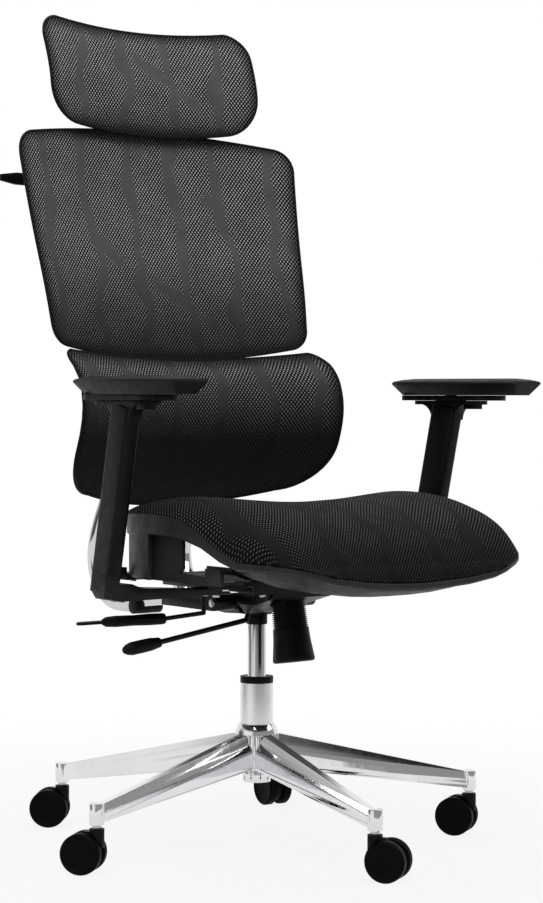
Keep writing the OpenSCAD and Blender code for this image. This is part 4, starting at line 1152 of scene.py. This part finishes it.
class Hardware:
    """The rigid CAD parts: eased edges and the finish of their record slot."""

    OWN_FINISH = {
        "back_frame": Finish.FRAME,
        "lumbar_frame": Finish.FRAME,
        "headrest_frame": Finish.FRAME,
        "seat_pan": Finish.FRAME,
        "mech_housing": Finish.COAT,
        "column_tube": Finish.SATIN,
        "back_bars": Finish.BAR,
    }
    EDGE = 0.0006
    WELD = 0.00001
    BEVEL_FROM = math.radians(38)
    SHARP_FROM = math.radians(32)

    def __init__(self, frame: dict, paint: Paintbox) -> None:
        """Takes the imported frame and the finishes."""
        self.nodes = frame["nodes"]
        self.slots = {row["node"]: row["material_slot"] for row in frame["record"]["subparts"]}
        self.paint = paint
        self.smoother = self.soft_shading()

    def soft_shading(self) -> bpy.types.NodeTree:
        """Node group that shades a part smoothly but for its sharp edges."""
        tree = bpy.data.node_groups.new("soft_shading", "GeometryNodeTree")
        for way in ("INPUT", "OUTPUT"):
            tree.interface.new_socket("Geometry", in_out=way, socket_type="NodeSocketGeometry")
        graph = Nodes(tree)
        start, end = graph.add("NodeGroupInput"), graph.add("NodeGroupOutput")
        faces = graph.add("GeometryNodeSetShadeSmooth")
        edges = graph.add("GeometryNodeSetShadeSmooth", domain="EDGE")
        angle = graph.add("GeometryNodeInputMeshEdgeAngle").outputs["Unsigned Angle"]
        sharp = graph.maths("GREATER_THAN", angle, self.SHARP_FROM)
        graph.feed(start.outputs[0], faces.inputs["Geometry"])
        graph.feed(faces.outputs["Geometry"], edges.inputs["Geometry"])
        graph.feed(sharp, edges.inputs["Selection"])
        graph.feed(False, edges.inputs["Shade Smooth"])
        graph.feed(edges.outputs["Geometry"], end.inputs[0])
        return tree

    def ease(self, node: bpy.types.Object) -> None:
        """Rounds the sharp edges of a part and shades it smoothly."""
        weld = node.modifiers.new("weld", "WELD")
        weld.merge_threshold = self.WELD
        bevel = node.modifiers.new("edges", "BEVEL")
        bevel.width, bevel.segments, bevel.limit_method = self.EDGE, 2, "ANGLE"
        bevel.angle_limit = self.BEVEL_FROM
        bevel.harden_normals = False
        shade = node.modifiers.new("shading", "NODES")
        shade.node_group = self.smoother

    def build(self) -> None:
        """Dresses every CAD part, those that a piece replaces among them."""
        for name, node in sorted(self.nodes.items()):
            finish = self.OWN_FINISH.get(name, SLOT_FINISH[self.slots[name]])
            node.data.materials.clear()
            node.data.materials.append(self.paint.get(finish))
            self.ease(node)
            log.info("%s finished as %s", name, finish.name)


# ------------ studio


@dataclass(frozen=True)
class Lamp:
    """A square soft lamp: where it hangs, the point it faces, its side and its power in watts."""

    name: str
    place: Axes
    aim: Axes
    side: float
    power: float

    def hang(self) -> None:
        """Hangs the lamp."""
        data = bpy.data.lights.new(self.name, "AREA")
        data.size, data.energy = self.side, self.power
        lamp = bpy.data.objects.new(self.name, data)
        bpy.context.scene.collection.objects.link(lamp)
        turn = (Vector(self.aim) - Vector(self.place)).to_track_quat("-Z", "Y")
        lamp.matrix_world = Matrix.Translation(self.place) @ turn.to_matrix().to_4x4()


@dataclass(frozen=True)
class DarkSide:
    """A side of the surround that is darker in reflections.

    x and y point to it. A direction with more of them than start is dimmer, down to low at end.
    """

    x: float
    y: float
    start: float
    end: float
    low: float

    def darken(self, graph: Nodes, way: Socket, tone: Socket) -> Socket:
        """Dims a colour on this side.

        Args:
            graph: Nodes of the surround.
            way: Direction into the surround.
            tone: Colour to dim.

        Returns:
            The dimmed colour.
        """
        along = graph.add("ShaderNodeVectorMath", operation="DOT_PRODUCT")
        graph.feed(way, along.inputs[0])
        along.inputs[1].default_value = (self.x, self.y, 0.0)
        shade = graph.fit(along.outputs["Value"], self.start, self.end, 1.0, self.low)
        return graph.mix(1.0, tone, shade, "MULTIPLY")


@dataclass(frozen=True)
class Studio:
    """Pale floor, white surround, soft lamps and the camera.

    The camera turns azimuth degrees from facing +Y, pitch radians down and roll radians round. The
    surround's tones are pairs of height, 0 level and 1 overhead, and grey: mirrored for
    reflections, lighting for the light it gives.
    """

    place: Axes = (-2.2861, -2.9613, 0.685)
    azimuth: float = -38.0
    pitch: float = 0.0223
    roll: float = 0.0027
    lens: float = 97.28
    sensor: float = 36.0
    far: float = 60.0
    floor_half: float = 14.0
    floor_drop: float = 0.0004
    surround: float = 0.4
    mirrored: Keys = ((0.38, 1.0), (0.50, 0.08), (0.72, 0.08), (0.84, 0.8), (1.0, 0.9))
    lighting: Keys = ((0.0, 0.45), (0.35, 0.6), (1.0, 1.0))
    dark_sides: tuple[DarkSide, ...] = (
        DarkSide(0.1, -1.0, 0.25, 0.523, 0.34),
        DarkSide(-0.75, 0.66, 0.86, 1.007, 0.06),
    )
    lamps: tuple[Lamp, ...] = (
        Lamp("key_lamp", (-1.6, -2.2, 3.6), (0.0, 0.0, 0.7), 2.2, 110.0),
        Lamp("fill_lamp", (2.6, -2.2, 2.6), (0.0, 0.0, 0.7), 2.0, 30.0),
        Lamp("top_lamp", (0.4, 1.2, 3.4), (0.0, 0.0, 0.6), 2.0, 50.0),
    )

    def camera(self) -> None:
        """Sets the camera in front of the chair, to the sitter's right."""
        data = bpy.data.cameras.new("camera")
        data.lens, data.sensor_width = self.lens, self.sensor
        data.clip_end = self.far
        camera = bpy.data.objects.new("camera", data)
        bpy.context.scene.collection.objects.link(camera)
        a = math.radians(self.azimuth)
        right = Vector((math.cos(a), math.sin(a), 0.0))
        level = Vector((-math.sin(a), math.cos(a), 0.0))
        ahead = level * math.cos(self.pitch) - Vector((0, 0, 1)) * math.sin(self.pitch)
        up = right.cross(ahead)
        turn = Matrix((right, up, -ahead)).transposed().to_4x4()
        roll = Matrix.Rotation(self.roll, 4, "Z")
        camera.matrix_world = Matrix.Translation(self.place) @ turn @ roll
        bpy.context.scene.camera = camera

    def floor(self) -> None:
        """Lays the floor, which the camera and reflections see as white but for its shadow."""
        size = self.floor_half
        corners = [
            Vector((x * size, y * size, -self.floor_drop))
            for x, y in ((-1, -1), (1, -1), (1, 1), (-1, 1))
        ]
        mesh = new_mesh("floor", corners, [[0, 1, 2, 3]])
        floor = bpy.data.objects.new("floor", mesh)
        bpy.context.scene.collection.objects.link(floor)
        mesh.materials.append(Painted("studio_floor").make())

    def world(self) -> None:
        """Sets the surround: white to the camera, dark part way up in reflections."""
        world = bpy.data.worlds.new("surround")
        bpy.context.scene.world = world
        world.use_nodes = True
        graph = Nodes(world.node_tree)
        graph.nodes.clear()

        def background(colour: object, strength: float = 1.0) -> Socket:
            """Light of a colour and strength."""
            node = graph.add("ShaderNodeBackground")
            graph.feed(colour, node.inputs["Color"])
            graph.feed(strength, node.inputs["Strength"])
            return node.outputs[0]

        way = graph.add("ShaderNodeTexCoord").outputs["Generated"]
        _, _, height = graph.split(way)
        tone = graph.ramp(height, self.mirrored)
        for side in self.dark_sides:
            tone = side.darken(graph, way, tone)
        path = graph.add("ShaderNodeLightPath").outputs
        indirect = path["Is Glossy Ray"], path["Is Transmission Ray"]
        mirror = graph.maths("ADD", *indirect, use_clamp=True)
        lit = background(graph.ramp(height, self.lighting), self.surround)
        hidden = graph.choose(mirror, lit, background(tone))
        surface = graph.choose(path["Is Camera Ray"], hidden, background(WHITE))
        graph.feed(surface, graph.add("ShaderNodeOutputWorld").inputs["Surface"])

    def build(self) -> None:
        """Sets the whole studio."""
        self.camera()
        self.floor()
        self.world()
        for lamp in self.lamps:
            lamp.hang()
        bpy.context.scene.view_settings.view_transform = "Standard"
        log.info("studio set")


def main() -> None:
    logging.basicConfig(level=logging.INFO, format="%(name)s: %(message)s")
    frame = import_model()
    paint = Paintbox()
    Hardware(frame, paint).build()
    for panel in PANELS:
        panel.build(paint)
    Seat().build(paint)
    Bars().build(paint)
    Studio().build()


if __name__ == "__main__":
    main()
